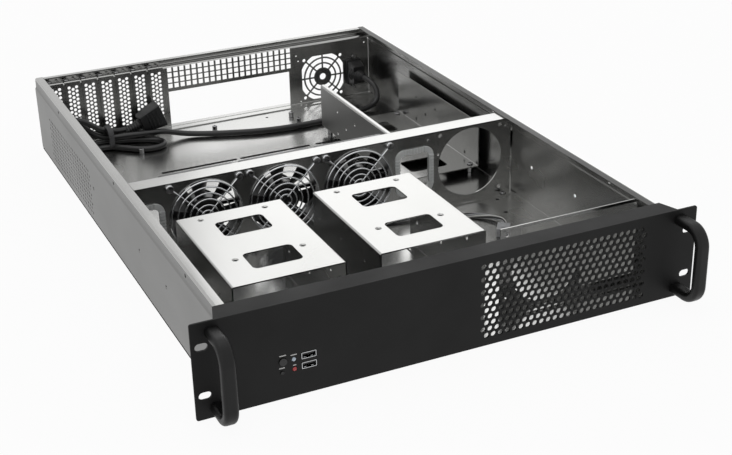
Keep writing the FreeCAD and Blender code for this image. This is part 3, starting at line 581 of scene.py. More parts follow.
@dataclass(frozen=True)
class Finish:
    """One surface finish, from its colours to its fine grain.

    Lengths are millimetres. The patch is the size of soft clouds of tone, and the grain
    that of the fine surface, each along X, Y and Z.
    """

    name: str
    slot: str
    dark: str
    light: str
    metallic: float
    rough_low: float
    rough_high: float
    patch: Point = (60.0, 60.0, 60.0)
    grain: Point = (0.8, 0.8, 0.8)
    relief: float = 0.01
    pattern: Pattern = Pattern.CLOUD
    ior: float = 1.5
    coat: float = 0.0
    clear: float = 0.0

    def build(self) -> bpy.types.Material:
        """Return the procedural material of this finish, made once."""
        made = bpy.data.materials.get(self.name)
        if made is not None:
            return made
        material = bpy.data.materials.new(self.name)
        material.use_nodes = True
        tree = material.node_tree
        shader = tree.nodes["Principled BSDF"]
        where = add_node(tree, "ShaderNodeTexCoord", {}).outputs["Object"]
        cloud = self.noise(self.scaled(tree, where, self.patch), detail=3.0)
        tone = add_node(tree, "ShaderNodeMix", {"data_type": "RGBA"}, {0: cloud})
        tone.inputs[6].default_value = to_linear(self.dark)
        tone.inputs[7].default_value = to_linear(self.light)
        tree.links.new(tone.outputs[2], shader.inputs["Base Color"])
        rough = add_range(tree, cloud, self.rough_low, self.rough_high, (0.3, 0.7))
        tree.links.new(rough, shader.inputs["Roughness"])
        bump = add_node(tree, "ShaderNodeBump", {
            "Strength": 0.6, "Distance": self.relief * MM},
            {"Height": self.fine_grain(self.scaled(tree, where, self.grain))})
        tree.links.new(bump.outputs["Normal"], shader.inputs["Normal"])
        shader.inputs["Metallic"].default_value = self.metallic
        if self.metallic == 0:
            shader.inputs["IOR"].default_value = self.ior
        shader.inputs["Coat Weight"].default_value = self.coat
        shader.inputs["Transmission Weight"].default_value = self.clear
        return material

    @staticmethod
    def scaled(tree: Tree, where: Socket, size: Point) -> Socket:
        """Return the places scaled so that a size in millimetres becomes one unit."""
        scale = tuple(1 / (length * MM) for length in size)
        return add_node(tree, "ShaderNodeMapping", {"Scale": scale},
                        {"Vector": where}).outputs["Vector"]

    @staticmethod
    def noise(laid: Socket, detail: float) -> Socket:
        """Return a noise on scaled places, in clouds of one unit."""
        tree = laid.id_data
        return add_node(tree, "ShaderNodeTexNoise", {"Scale": 1.0, "Detail": detail},
                        {"Vector": laid}).outputs["Fac"]

    def fine_grain(self, laid: Socket) -> Socket:
        """Return the height of the fine surface grain.

        Args:
            laid: The places, scaled to the grain.

        Returns:
            The height.
        """
        tree = laid.id_data
        if self.pattern is Pattern.CLOUD:
            return self.noise(laid, detail=2.0)
        if self.pattern is Pattern.CELL:
            return add_node(tree, "ShaderNodeTexVoronoi", {"Scale": 1.0},
                            {"Vector": laid}).outputs["Distance"]
        ways = [add_node(tree, "ShaderNodeTexWave", {
            "Scale": 1.0, "bands_direction": axis, "wave_profile": "SIN"},
            {"Vector": laid}).outputs["Fac"] for axis in ("X", "Z")]
        return add_maths(tree, "MAXIMUM", *ways)


# Rolled zinc-plated steel: soft satin reflections with faint streaks along the roll.
ZINC_SHEET = Finish("zinc_plated_sheet", "zinc_steel", "#9A9A99", "#B4B4B2", 1.0, 0.18, 0.28,
                    patch=(70.0, 140.0, 70.0), grain=(0.7, 22.0, 0.7), relief=0.005)
# The tray's outer sides: the same sheet, duller, and greyer with painted shade for the dimmer
# surroundings that these faces reflect.
ZINC_PAINTED_SHADE_SKIN = Finish("zinc_plated_sheet_painted_shade", "zinc_steel", "#797978", "#868685", 1.0, 0.4,
                   0.52, patch=(90.0, 160.0, 60.0), grain=(0.7, 22.0, 0.7), relief=0.012)
# The right rim's flat top: painted shade, a dark, even grey band with hardly any shine that
# stands in for the dark reflection along that rim.
ZINC_RIM_PAINTED_SHADE = Finish("zinc_plated_rim_painted_shade", "zinc_steel", "#505050", "#5C5C5B", 1.0, 0.42, 0.55,
                  patch=(60.0, 120.0, 60.0), grain=(0.7, 22.0, 0.7), relief=0.005)
# Textured powder coat: matt near-black with a fine orange-peel skin.
POWDER_BLACK = Finish("black_powder_coat", "panel_black", "#0A0A0A", "#0F0F0F", 0.0, 0.54,
                      0.64, patch=even(45.0), grain=even(0.7), relief=0.05, ior=1.33)
# Black anodised bar: smoother, with a satin sheen on its round edges.
ANODISED_BLACK = Finish("black_anodised_bar", "handle_black", "#080808", "#0C0C0C", 0.0, 0.38,
                        0.48, patch=even(25.0), grain=even(0.5), relief=0.02, ior=1.36)
# Moulded glass-filled nylon of the fans: glossy black that mirrors the lamps.
FAN_PLASTIC = Finish("black_moulded_nylon", "plastic_black", "#0B0B0B", "#111111", 0.0, 0.24,
                     0.38, patch=even(18.0), grain=even(0.5), relief=0.02, ior=1.53)
# Moulded polyethylene edging: pale, soft and slightly waxy.
EDGING_GREY = Finish("grey_moulded_edging", "plastic_grey", "#BFC1C1", "#D2D4D3", 0.0, 0.42,
                     0.55, patch=even(9.0), grain=even(0.6), relief=0.03, ior=1.51)
# Nickel-chrome plated wire: a bright mirror with a hint of drawing lines.
CHROME_WIRE = Finish("chrome_plated_wire", "wire_chrome", "#C9CBCD", "#DADCDE", 1.0, 0.1, 0.2,
                     patch=even(15.0), grain=even(0.4), relief=0.004)
# Zinc-plated screws and pillars: bright, a little softer than chrome.
SCREW_ZINC = Finish("zinc_plated_screw", "screw_steel", "#7E7E80", "#A4A4A4", 1.0, 0.2, 0.34,
                    patch=even(4.0), grain=even(0.3), relief=0.006)
# Flexible PVC sheath: near-black rubbery skin with a broad highlight.
CORD_PVC = Finish("black_pvc_sheath", "cord_black", "#0F0F10", "#171718", 0.0, 0.3, 0.44,
                  patch=even(14.0), grain=even(0.9), relief=0.03, ior=1.52)
# Moulded PVC plug bodies: as the cord, with the mould's fine spark texture.
PLUG_PVC = Finish("black_moulded_pvc", "plastic_black", "#121213", "#1A1A1B", 0.0, 0.36, 0.5,
                  patch=even(12.0), grain=even(0.5), relief=0.04, ior=1.52)
# Hook-and-loop strap: woven nylon, dark grey and dull.
STRAP_NYLON = Finish("grey_woven_strap", "tie_grey", "#454546", "#565658", 0.0, 0.7, 0.85,
                     patch=even(5.0), grain=even(0.6), relief=0.12, pattern=Pattern.WEAVE)
# Solder-masked glass epoxy.
BOARD_GREEN = Finish("green_solder_mask", "board_green", "#0F3A22", "#15482B", 0.0, 0.3, 0.4,
                     patch=even(12.0), grain=even(1.2), relief=0.03, pattern=Pattern.CELL)
# Tinned steel port shells: bright and soft.
TINNED_SHELL = Finish("tinned_port_shell", "port_steel", "#B9BBBC", "#D0D2D3", 1.0, 0.16,
                      0.28, patch=even(6.0), grain=even(0.4), relief=0.005)
# Clear epoxy lamps: a pale blue one and a red one.
LENS_BLUE = Finish("pale_blue_epoxy_lens", "lamp_clear", "#C3D6EA", "#E2EEF8", 0.0, 0.08,
                   0.16, patch=even(2.0), relief=0.004, ior=1.55, coat=0.4, clear=0.25)
LENS_RED = Finish("red_epoxy_lens", "lamp_red", "#B3141A", "#DB2B2B", 0.0, 0.08, 0.16,
                  patch=even(2.0), relief=0.004, ior=1.55, coat=0.4, clear=0.2)
# Thin PVC insulation of the signal wires.
WIRE_BLACK = Finish("black_wire_insulation", "lead_wires", "#131314", "#1D1D1E", 0.0, 0.35,
                    0.5, patch=even(8.0), relief=0.01)
WIRE_WHITE = Finish("white_wire_insulation", "lead_wires", "#C9C9C6", "#E3E3E0", 0.0, 0.35,
                    0.5, patch=even(8.0), relief=0.01)
WIRE_GREY = Finish("grey_wire_insulation", "lead_wires", "#8E8F91", "#AEAFB1", 0.0, 0.35, 0.5,
                   patch=even(8.0), relief=0.01)
# White silk-screen ink of the plain marks beside the controls.
MARK_INK = Finish("white_screen_ink", "panel_black", "#C8C8C6", "#E0E0DE", 0.0, 0.5, 0.6,
                  patch=even(2.0), relief=0.01)


def dress(piece: Piece, finish: Finish, body: str = CASE, stands_for: Sequence[str] = (),
          angle: float = 32.0) -> Piece:
    """Finish a new piece and tie it to the frame.

    Args:
        piece: The piece.
        finish: Its surface finish.
        body: The CAD body that it rides on.
        stands_for: The CAD nodes that it replaces.
        angle: Edges under this many degrees are shaded smooth.

    Returns:
        The piece.
    """
    if piece.type == "MESH":
        take(piece)
        bpy.ops.object.shade_smooth_by_angle(angle=math.radians(angle))
        apply(piece, "WEIGHTED_NORMAL", keep_sharp=True, weight=90)
    piece.data.materials.clear()
    piece.data.materials.append(finish.build())
    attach(piece, body)
    if stands_for:
        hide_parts(*stands_for)
    LOG.info("%s in %s", piece.name, finish.name)
    return piece


def coat_faces(piece: Piece, finish: Finish,
               test: Callable[[Vector, Vector], bool]) -> None:
    """Give the faces that pass a test a further finish.

    Args:
        piece: A dressed piece.
        finish: The further finish.
        test: Takes a face's middle in metres and its normal.
    """
    index = len(piece.data.materials)
    piece.data.materials.append(finish.build())
    for face in piece.data.polygons:
        if test(face.center, face.normal):
            face.material_index = index


def paint_outer_side_shade(piece: Piece, middle: float, reach: float) -> None:
    """Give the side faces that look outward the duller outer sheet, darkened with painted
    shade.

    Args:
        piece: A dressed sheet piece.
        middle: Its middle across the case, in millimetres.
        reach: How far from the middle its outer sides begin.
    """
    def looks_out(place: Vector, normal: Vector) -> bool:
        """Tell whether a face is on an outer side and looks away from the middle."""
        across = place.x / MM - middle
        return abs(across) > reach and normal.x * math.copysign(1.0, across) > 0.6
    coat_faces(piece, ZINC_PAINTED_SHADE_SKIN, looks_out)


def dress_node(node: str, finish: Finish) -> None:
    """Give a CAD node that stays in view its finish.

    Args:
        node: The node's name.
        finish: Its surface finish.
    """
    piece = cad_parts[node]
    for holder in piece.material_slots:
        holder.material = finish.build()
    if not piece.material_slots:
        piece.data.materials.append(finish.build())
    LOG.info("%s in %s", node, finish.name)


# ------------------------------------------------------------------ fasteners

@dataclass(frozen=True)
class PanHead:
    """A pan-head screw with a cross recess."""

    radius: float = 3.5
    rise: float = 1.7
    recess: Point = (1.9, 0.45, 1.1)

    def model(self, name: str, seat: Point, way: Point) -> Piece:
        """Model one head.

        Args:
            name: The piece's name.
            seat: Where the head sits, in millimetres.
            way: The unit direction that the head points.

        Returns:
            The head.
        """
        top = Vector(seat) + Vector(way) * self.rise
        head = add_rod(name, seat, tuple(top), self.radius, 20)
        soften(head, self.rise * 0.55, steps=3, angle=60.0)
        turn = Vector(UP).rotation_difference(Vector(way)).to_matrix().to_4x4()
        long, short, deep = self.recess
        arms = []
        for wide, narrow in ((long, short), (short, long)):
            arm = add_block(f"{name}_arm", (-wide, -PANEL_FACE - narrow, -deep),
                            (wide, -PANEL_FACE + narrow, deep))
            arms.append(put(arm, Matrix.Translation(spot(*top)) @ turn))
        return combine(head, [combine(arms[0], [arms[1]], "UNION")])

    def group(self, name: str, seats: Sequence[Point], way: Point,
              node: str | None = None) -> None:
        """Set a head on every seat and dress them as one piece.

        Args:
            name: The piece's name.
            seats: Where the heads sit, in millimetres.
            way: The unit direction that they point.
            node: The CAD node that they stand for, if any.
        """
        heads = copy_to(self.model(name, seats[0], way), seats)
        dress(heads, SCREW_ZINC, stands_for=[node] if node else [])


@dataclass
class Posts:
    """The pillars under the rear tray and the board standoffs."""

    radius: float = 3.0
    chamfer: float = 0.35
    bore: float = 1.3
    bore_depth: float = 3.0
    pillar_spots: Loop = ((-45.5, 0.0), (-45.5, 184.0), (45.5, 0.0), (45.5, 184.0))
    standoff_spots: Loop = ((88.0, 606.0), (88.0, 582.0), (-115.0, 575.0), (88.0, 450.0),
                            (-13.0, 450.0), (-115.0, 450.0), (-13.0, 606.0))

    def build(self) -> None:
        """Make both groups of posts."""
        near = node_box("tray_pillars")[0].y + self.radius
        middle = node_middle("tray_pillars").x
        self.group("pillar_posts", "tray_pillars",
                   [(middle + x, near + y) for x, y in self.pillar_spots])
        self.group("standoff_posts", "board_standoffs", self.standoff_spots)

    def group(self, name: str, node: str, spots: Loop) -> None:
        """Turn a hexagon post with a chamfered end and a threaded hole, and copy it.

        Args:
            name: The piece's name.
            node: The CAD node that it stands for.
            spots: The posts' places along X and Y in millimetres.
        """
        low, high = node_box(node)
        x, y = spots[0]
        post = add_rod(name, (x, y, low.z), (x, y, high.z), self.radius, 6)
        soften(post, self.chamfer, steps=1, angle=70.0)
        bore = add_rod(f"{name}_bore", (x, y, high.z - self.bore_depth),
                       (x, y, high.z + 1), self.bore, 12)
        combine(post, [bore])
        dress(copy_to(post, [(*place, low.z) for place in spots]), SCREW_ZINC,
              stands_for=[node])


# ------------------------------------------------------------------ tray

@dataclass
class Tray:
    """The folded tray: floor, side walls with their joggle, and top flanges."""

    joggle_low: float = 75.0
    joggle: float = 1.5
    flange: float = 8.8
    flange_front: float = 22.0
    side_holes: Sequence[tuple[float, float, Point]] = (
        (43.0, 2.0, (155.0, 238.0, 403.0)), (81.0, 1.8, (95.7, 318.0, 542.0)))
    vent_start: Pair = (417.0, 9.5)
    vent_radius: float = 1.55
    vent_counts: tuple[int, int] = (25, 5)
    vent_pitch: Pair = (7.1, 10.4)
    floor_slots: Loop = ((-112.2, -21.0), (-17.2, 71.2), (78.0, 166.0))
    slot_line: float = 506.0
    slot_half: float = 2.5
    floor_holes: Sequence[Point] = (
        (179.0, 232.0, 2.2), (188.0, 265.0, 2.2), (207.5, 563.0, 1.6),
        (207.5, 552.4, 1.6), (60.0, 618.0, 1.8), (20.0, 470.0, 1.5))

    def build(self) -> None:
        """Fold the tray, cut its holes and dress it."""
        low, high = node_box("chassis_tray")
        half, top = high.x, high.z
        upper = half - GAUGE
        end = upper - self.flange
        left = [(-end, top), (-upper, top), (-upper, self.joggle_low + self.joggle),
                (-half, self.joggle_low), (-half, 0.0)]
        path = left + [(-x, z) for x, z in reversed(left)]
        tray = fold_sheet("tray_shell", [(x, low.y, z) for x, z in path],
                          (0.0, high.y - low.y, 0.0), DOWN)
        notch = add_block("notch", (-half - 5, low.y - 1, top - GAUGE - 0.1),
                          (half + 5, self.flange_front, top + 1))
        combine(tray, [notch])
        combine(tray, self.side_cutters(half))
        combine(tray, self.floor_cutters())
        dress(tray, ZINC_SHEET, stands_for=["chassis_tray"])
        # The outward faces of the walls get a darker copy of the sheet: painted shade.
        paint_outer_side_shade(tray, 0.0, upper - 0.1)
        # The right rim's flat top gets a dark copy of the sheet: painted shade.
        rim = spot(end - 1, 0.0, top - 3)
        coat_faces(tray, ZINC_RIM_PAINTED_SHADE, lambda place, normal:
                   normal.z > 0.99 and place.x > rim.x and place.z > rim.z)

    def side_cutters(self, half: float) -> list[Piece]:
        """Make the cutters of the side walls.

        Args:
            half: Half the tray's width in millimetres.

        Returns:
            The cutters of the rail and lid holes and the left wall's perforations.
        """
        cutters = [add_rod("side_hole", (-half - 3, along, up), (half + 3, along, up),
                           radius, 20)
                   for up, radius, stations in self.side_holes for along in stations]
        along, up = self.vent_start
        pitch, rise = self.vent_pitch
        vent = add_rod("side_vent", (-half - 3, along, up), (-half + 5, along, up),
                       self.vent_radius, 10)
        return cutters + hole_field(vent, self.vent_counts, ((0, pitch, 0), (0, 0, rise)),
                                    (0, pitch / 2, rise / 2))

    def floor_cutters(self) -> list[Piece]:
        """Return the cutters of the floor's long slots and small holes."""
        slots = [add_block("floor_slot", (left, self.slot_line - self.slot_half, -2),
                           (right, self.slot_line + self.slot_half, 4))
                 for left, right in self.floor_slots]
        for slot in slots:
            round_edges(slot, Z_AXIS, self.slot_half - 0.1, 5)
        return slots + [add_rod("floor_hole", (x, y, -2), (x, y, 4), radius, 16)
                        for x, y, radius in self.floor_holes]


# ------------------------------------------------------------------ front panel

@dataclass
class FrontPanel:
    """The rack panel with its vent, ear slots, top flange and control openings."""

    gauge: float = 2.0
    corner: float = 2.0
    cut: Pair = (-2.0, 5.0)
    vent_radius: float = 2.75
    vent_pitch: float = 7.0
    vent_rise: float = 6.1
    vent_counts: tuple[int, int] = (24, 6)
    vent_low: float = 9.8
    vent_left: float = 20.7
    slot_span: float = 465.1
    slot_low: float = 21.83
    slot_rise: float = 44.45
    slot_half: Pair = (5.5, 3.5)
    flange_wide: float = 442.0
    flange_narrow: float = 429.4
    flange_depth: float = 19.5
    port_gap: Pair = (0.3, 0.25)
    ink_ends: Pair = (-0.06, 0.1)
    ink_half: float = 0.45
    holes: Sequence[tuple[str, float]] = (
        ("power_button", 3.75), ("reset_button", 1.75), ("power_led", 2.2),
        ("drive_led", 2.2))
    dashes: Sequence[tuple[str, float, float]] = (
        ("power_button", 5.6, 6.0), ("reset_button", 4.2, 5.0), ("power_led", 4.4, 5.6),
        ("drive_led", 3.9, 3.0))

    def build(self) -> None:
        """Cut the panel, add its flange and dress it."""
        low, high = node_box("front_panel")
        plate = add_block("front_plate", tuple(low), (high.x, self.gauge, high.z))
        round_edges(plate, Y_AXIS, self.corner)
        soften(plate, 0.35, angle=50.0)
        combine(plate, self.vent_cutters())
        combine(plate, self.slot_cutters() + self.control_cutters())
        flange = self.top_flange(high.z)
        dress(join("front_plate", [plate, flange]), POWDER_BLACK,
              stands_for=["front_panel"])
        self.marks()

    def top_flange(self, top: float) -> Piece:
        """Make the top flange, whose ends run in at a slant.

        Args:
            top: The panel's height in millimetres.

        Returns:
            The flange.
        """
        half = self.flange_wide / 2
        rear = self.gauge + self.flange_depth
        flange = add_block("panel_flange", (-half, self.gauge - 0.4, top - self.gauge),
                           (half, rear, top - 0.02))
        rear_line = spot(0, rear - 0.01, 0).y
        pick(flange, lambda place: place.y > rear_line)
        bpy.ops.transform.resize(value=(self.flange_narrow / self.flange_wide, 1.0, 1.0),
                                 center_override=(0.0, 0.0, 0.0))
        bpy.ops.object.mode_set(mode="OBJECT")
        return soften(flange, 0.3, angle=60.0)

    def vent_cutters(self) -> list[Piece]:
        """Return the cutters of the staggered vent holes."""
        pitch, rise = self.vent_pitch, self.vent_rise
        hole = add_pin("vent", self.vent_left, self.vent_low + rise, (-1.0, 4.0),
                       self.vent_radius, 12)
        return hole_field(hole, self.vent_counts, ((pitch, 0, 0), (0, 0, 2 * rise)),
                          (pitch / 2, 0, -rise))

    def slot_cutters(self) -> list[Piece]:
        """Return the cutters of the four rack slots."""
        return [round_edges(add_slab("ear_slot", side * self.slot_span / 2,
                                     self.slot_low + row * self.slot_rise, self.cut,
                                     self.slot_half), Y_AXIS, self.slot_half[1] - 0.01, 8)
                for side, row in product(SIDES, (0, 1))]

    def control_cutters(self) -> list[Piece]:
        """Return the cutters of the button, lamp and port openings."""
        cutters = []
        wide, tall = self.port_gap
        for node, radius in self.holes:
            x, _, z = node_middle(node)
            cutters.append(add_pin("control_hole", x, z, self.cut, radius))
        for node in ("usb_port_upper", "usb_port_lower"):
            low, high = node_box(node)
            cutters.append(add_block("port_hole",
                                     (low.x - wide, self.cut[0], low.z - tall),
                                     (high.x + wide, self.cut[1], high.z + tall)))
        return cutters

    def marks(self) -> None:
        """Print a short plain dash above each button and lamp."""
        marks = []
        for node, rise, width in self.dashes:
            x, _, z = node_middle(node)
            mark = add_slab("panel_marks", x, z + rise, self.ink_ends,
                            (width / 2, self.ink_half))
            marks.append(round_edges(mark, Y_AXIS, 0.4, 3))
        dress(join("panel_marks", marks), MARK_INK)


@dataclass
class Handle:
    """A bar handle with two bends and soft edges."""

    node: str
    width: float = 12.5
    bar: float = 9.0
    corner: float = 3.4
    bend: float = 20.0
    sunk: float = 0.2
    steps: int = 10

    def build(self) -> None:
        """Sweep the bar from one foot to the other and ease it."""
        low, high = node_box(self.node)
        middle = (low.x + high.x) / 2
        bar = add_block(f"{self.node}_bar",
                        (middle - self.width / 2, -self.sunk, high.z - self.bar),
                        (middle + self.width / 2, 0.0, high.z))
        round_edges(bar, Y_AXIS, self.corner)
        front = spot(0, -self.sunk, 0).y
        pick(bar, lambda place: abs(place.y - front) < 1e-6)
        straight = (low.y + self.bend + self.sunk) * MM
        pivot = low.y + self.bend
        self.push((0, straight, 0))
        self.turn((middle, pivot, high.z - self.bend))
        self.push((0, 0, (low.z - high.z + 2 * self.bend) * MM))
        self.turn((middle, pivot, low.z + self.bend))
        self.push((0, self.sunk * MM - straight, 0))
        bpy.ops.object.mode_set(mode="OBJECT")
        dress(face_out(bar), ANODISED_BLACK, stands_for=[self.node], angle=40.0)

    @staticmethod
    def push(way: Point) -> None:
        """Extrude the selected end straight."""
        bpy.ops.mesh.extrude_region_move(TRANSFORM_OT_translate={"value": way})

    def turn(self, centre: Point) -> None:
        """Spin the selected end through a quarter turn about an axis along X."""
        bpy.ops.mesh.spin(steps=self.steps, angle=-math.pi / 2, center=spot(*centre),
                          axis=(1, 0, 0), use_auto_merge=False)


# ------------------------------------------------------------------ front controls

@dataclass
class Controls:
    """The buttons, lamps, ports and board of the front panel.

    The depths are millimetres from a control's front end.
    """

    cap_depth: float = 3.2
    collar: tuple[Pair, float] = ((3.25, 4.2), 0.85)
    stem_radius: float = 1.1
    lens_radius: float = 1.95
    lens_depth: float = 5.8
    shell: float = 0.5

    def build(self) -> None:
        """Make every control."""
        self.cap("power_cap", "power_button", 3.5, "power_key")
        self.cap("reset_cap", "reset_button", 1.5, "reset_key")
        self.lens("power_lens", "power_led", LENS_BLUE)
        self.lens("drive_lens", "drive_led", LENS_RED)
        self.port("port_shell_upper", "usb_port_upper")
        self.port("port_shell_lower", "usb_port_lower")
        dress_node("front_io_board", BOARD_GREEN)

    def cap(self, name: str, node: str, radius: float, body: str) -> None:
        """Turn a push button with a dished face and its collar and stem.

        Args:
            name: The piece's name.
            node: The CAD node that it stands for.
            radius: Its radius in millimetres.
            body: The CAD body that it rides on.
        """
        low, high = node_box(node)
        x, _, z = node_middle(node)
        cap = add_pin(name, x, z, (low.y, low.y + self.cap_depth), radius, 32)
        soften(cap, 0.35, steps=3, angle=60.0)
        combine(cap, [add_pin(f"{name}_dish", x, z, (low.y - 0.5, low.y + 0.3),
                              radius * 0.8, 32, radius * 0.5)])
        (near, far), wider = self.collar
        collar = add_pin(f"{name}_collar", x, z, (low.y + near, low.y + far),
                         radius + wider)
        stem = add_pin(f"{name}_stem", x, z, (low.y + far + 0.05, high.y),
                       self.stem_radius, 12)
        dress(join(name, [cap, collar, stem]), FAN_PLASTIC, body=body, stands_for=[node])

    def lens(self, name: str, node: str, finish: Finish) -> None:
        """Mould a round-nosed lamp with its legs.

        Args:
            name: The piece's name.
            node: The CAD node that it stands for.
            finish: Its surface finish.
        """
        low, high = node_box(node)
        x, _, z = node_middle(node)
        nose = add_pin(name, x, z, (low.y, low.y + self.lens_depth), self.lens_radius)
        pick(nose, lambda place: place.y < spot(0, low.y + 1, 0).y)
        bpy.ops.mesh.bevel(offset=1.1 * MM, segments=5, affect="EDGES")
        bpy.ops.object.mode_set(mode="OBJECT")
        legs = add_slab(f"{name}_legs", x, z, (low.y + self.lens_depth + 0.05, high.y),
                        (0.9, 0.3))
        dress(join(name, [nose, legs]), finish, stands_for=[node])

    def port(self, name: str, node: str) -> None:
        """Hollow a port shell and add its springs and contact tongue.

        Args:
            name: The piece's name.
            node: The CAD node that it stands for.
        """
        low, high = node_box(node)
        wall = self.shell
        shell = round_edges(add_block(name, tuple(low), tuple(high)), Y_AXIS, 0.6, 3)
        combine(shell, [add_block(f"{name}_mouth", (low.x + wall, low.y - 1, low.z + wall),
                                  (high.x - wall, high.y - 1, high.z - wall))])
        springs = []
        for side in (-3.2, 3.2):
            middle = (low.x + high.x) / 2 + side
            spring = add_block(f"{name}_spring", (middle - 1.0, low.y + 1.5, low.z + wall),
                               (middle + 1.0, low.y + 7.0, low.z + wall + 0.4))
            springs.append(soften(spring, 0.3, angle=60.0))
        dress(join(name, [shell, *springs]), TINNED_SHELL, stands_for=[node])
        tongue = add_block(f"{name}_tongue", (low.x + 1.1, low.y + 1.6, high.z - 2.9),
                           (high.x - 1.1, high.y - 1.2, high.z - 1.2))
        dress(soften(tongue, 0.2, angle=60.0), FAN_PLASTIC)


# ------------------------------------------------------------------ fan wall

@dataclass
class FanWall:
    """The wall across the case with its fan and cable openings."""

    opening: float = 38.0
    pitch: float = 71.5
    flange: float = 21.0
    flange_lip: float = 3.0
    corner: float = 8.6
    foot: float = 10.0
    empty_spot: float = 162.2
    trim: float = 0.7
    screw_hole: float = 2.2
    small_hole: float = 1.3
    cable_edge: float = 2.7
    cable_corner: float = 9.0
    tab_ends: Pair = (1.0, 20.0)
    tab_height: Pair = (50.0, 70.0)
    screw_line: float = 5.5
    foot_screws: Sequence[float] = (-160.0, -91.0, 78.0, 200.0)
    small_holes: Loop = ((-168.0, 78.0), (-91.0, 77.5), (-9.0, 77.5), (73.0, 78.5),
                         (112.0, 78.5), (124.0, 60.0), (205.0, 78.0))

    def build(self) -> None:
        """Cut the wall, fold its flange, add its foot and tabs, and dress it."""
        low, high = node_box("fan_wall")
        front = high.y - self.flange
        half = high.x
        inner = half - self.corner
        side_top = node_box("chassis_tray")[1].z - GAUGE - self.trim
        wall = add_block("fan_bulkhead", (-half, front, low.z),
                         (half, front + GAUGE, high.z))
        combine(wall, [add_block("corner", (left, front - 1, side_top),
                                 (right, front + 3, high.z + 1))
                       for left, right in mirrored(inner, half + 1)])
        combine(wall, self.cutters((front - 2, front + 4)))
        face = high.z - 0.01
        flange = fold_sheet("wall_flange",
                            [(-inner, front, face), (-inner, high.y, face),
                             (-inner, high.y, high.z - self.flange_lip)],
                            (2 * inner, 0, 0), DOWN, bend=1.6)
        foot = add_block("wall_foot", (-half, front - self.foot, low.z),
                         (half, front + 0.1, low.z + GAUGE))
        (near, far), (bottom, top) = self.tab_ends, self.tab_height
        tabs = [add_block("wall_tab", (left, front + near, bottom),
                          (right, front + far, top))
                for left, right in mirrored(half - GAUGE, half)]
        dress(join("fan_bulkhead", [wall, flange, foot, *tabs]), ZINC_SHEET,
              stands_for=["fan_wall"])
        PanHead().group("foot_screws", [(x, front - self.screw_line, low.z + GAUGE)
                                        for x in self.foot_screws], UP)

    def cutters(self, ends: Pair) -> list[Piece]:
        """Make the cutters of every opening in the wall.

        Args:
            ends: Where they start and end along Y, in millimetres.

        Returns:
            The cutters.
        """
        height = node_middle("fan_frame_1").z
        spots = [node_middle(f"fan_frame_{number}").x for number in FAN_NUMBERS]
        cutters = [add_pin("fan_opening", x, height, ends, self.opening, 72)
                   for x in (*spots, self.empty_spot)]
        reach = self.pitch / 2
        cutters += [add_pin("fan_screw_hole", self.empty_spot + side * reach,
                            height + up * reach, ends, self.screw_hole, 20)
                    for side, up in CORNERS]
        edge = self.cable_edge
        for node in ("cable_edging_mid", "cable_edging_left"):
            low, high = node_box(node)
            cutter = add_block("cable_hole", (low.x + edge, ends[0], low.z + edge),
                               (high.x - edge, ends[1], high.z - edge))
            cutters.append(round_edges(cutter, Y_AXIS, self.cable_corner, 8))
        return cutters + [add_pin("wall_hole", x, z, ends, self.small_hole, 12)
                          for x, z in self.small_holes]


@dataclass
class Edging:
    """Ribbed plastic edging round a cable hole."""

    node: str
    name: str
    band: float = 5.4
    corner: float = 10.0
    inner_corner: float = 6.5
    rib: float = 1.7
    rib_rise: Pair = (1.0, 0.2)
    pitch: float = 3.4

    def build(self) -> None:
        """Make the band and its ribs and dress them."""
        low, high = node_box(self.node)
        band = round_edges(add_block(self.name, tuple(low), tuple(high)), Y_AXIS,
                           self.corner, 8)
        inside = add_block(f"{self.name}_inside",
                           (low.x + self.band, low.y - 1, low.z + self.band),
                           (high.x - self.band, high.y + 1, high.z - self.band))
        combine(band, [round_edges(inside, Y_AXIS, self.inner_corner, 8)])
        soften(band, 0.4, angle=50.0)
        left, bottom = low.x + self.corner, low.z + self.corner
        starts = [((left, up), (self.rib, self.band), (self.pitch, 0, 0),
                   high.x - self.corner - left) for up in (low.z, high.z - self.band)]
        starts += [((x, bottom), (self.band, self.rib), (0, 0, self.pitch),
                    high.z - self.corner - bottom) for x in (low.x, high.x - self.band)]
        ribs = []
        front, rear = self.rib_rise
        for (x, z), (wide, tall), step, room in starts:
            rib = add_block(f"{self.name}_rib", (x, low.y - front, z),
                            (x + wide, high.y + rear, z + tall))
            ribs.append(repeat(rib, int(room / self.pitch) + 1, step))
        dress(join(self.name, [band, *ribs]), EDGING_GREY, stands_for=[self.node])


# ------------------------------------------------------------------ fans

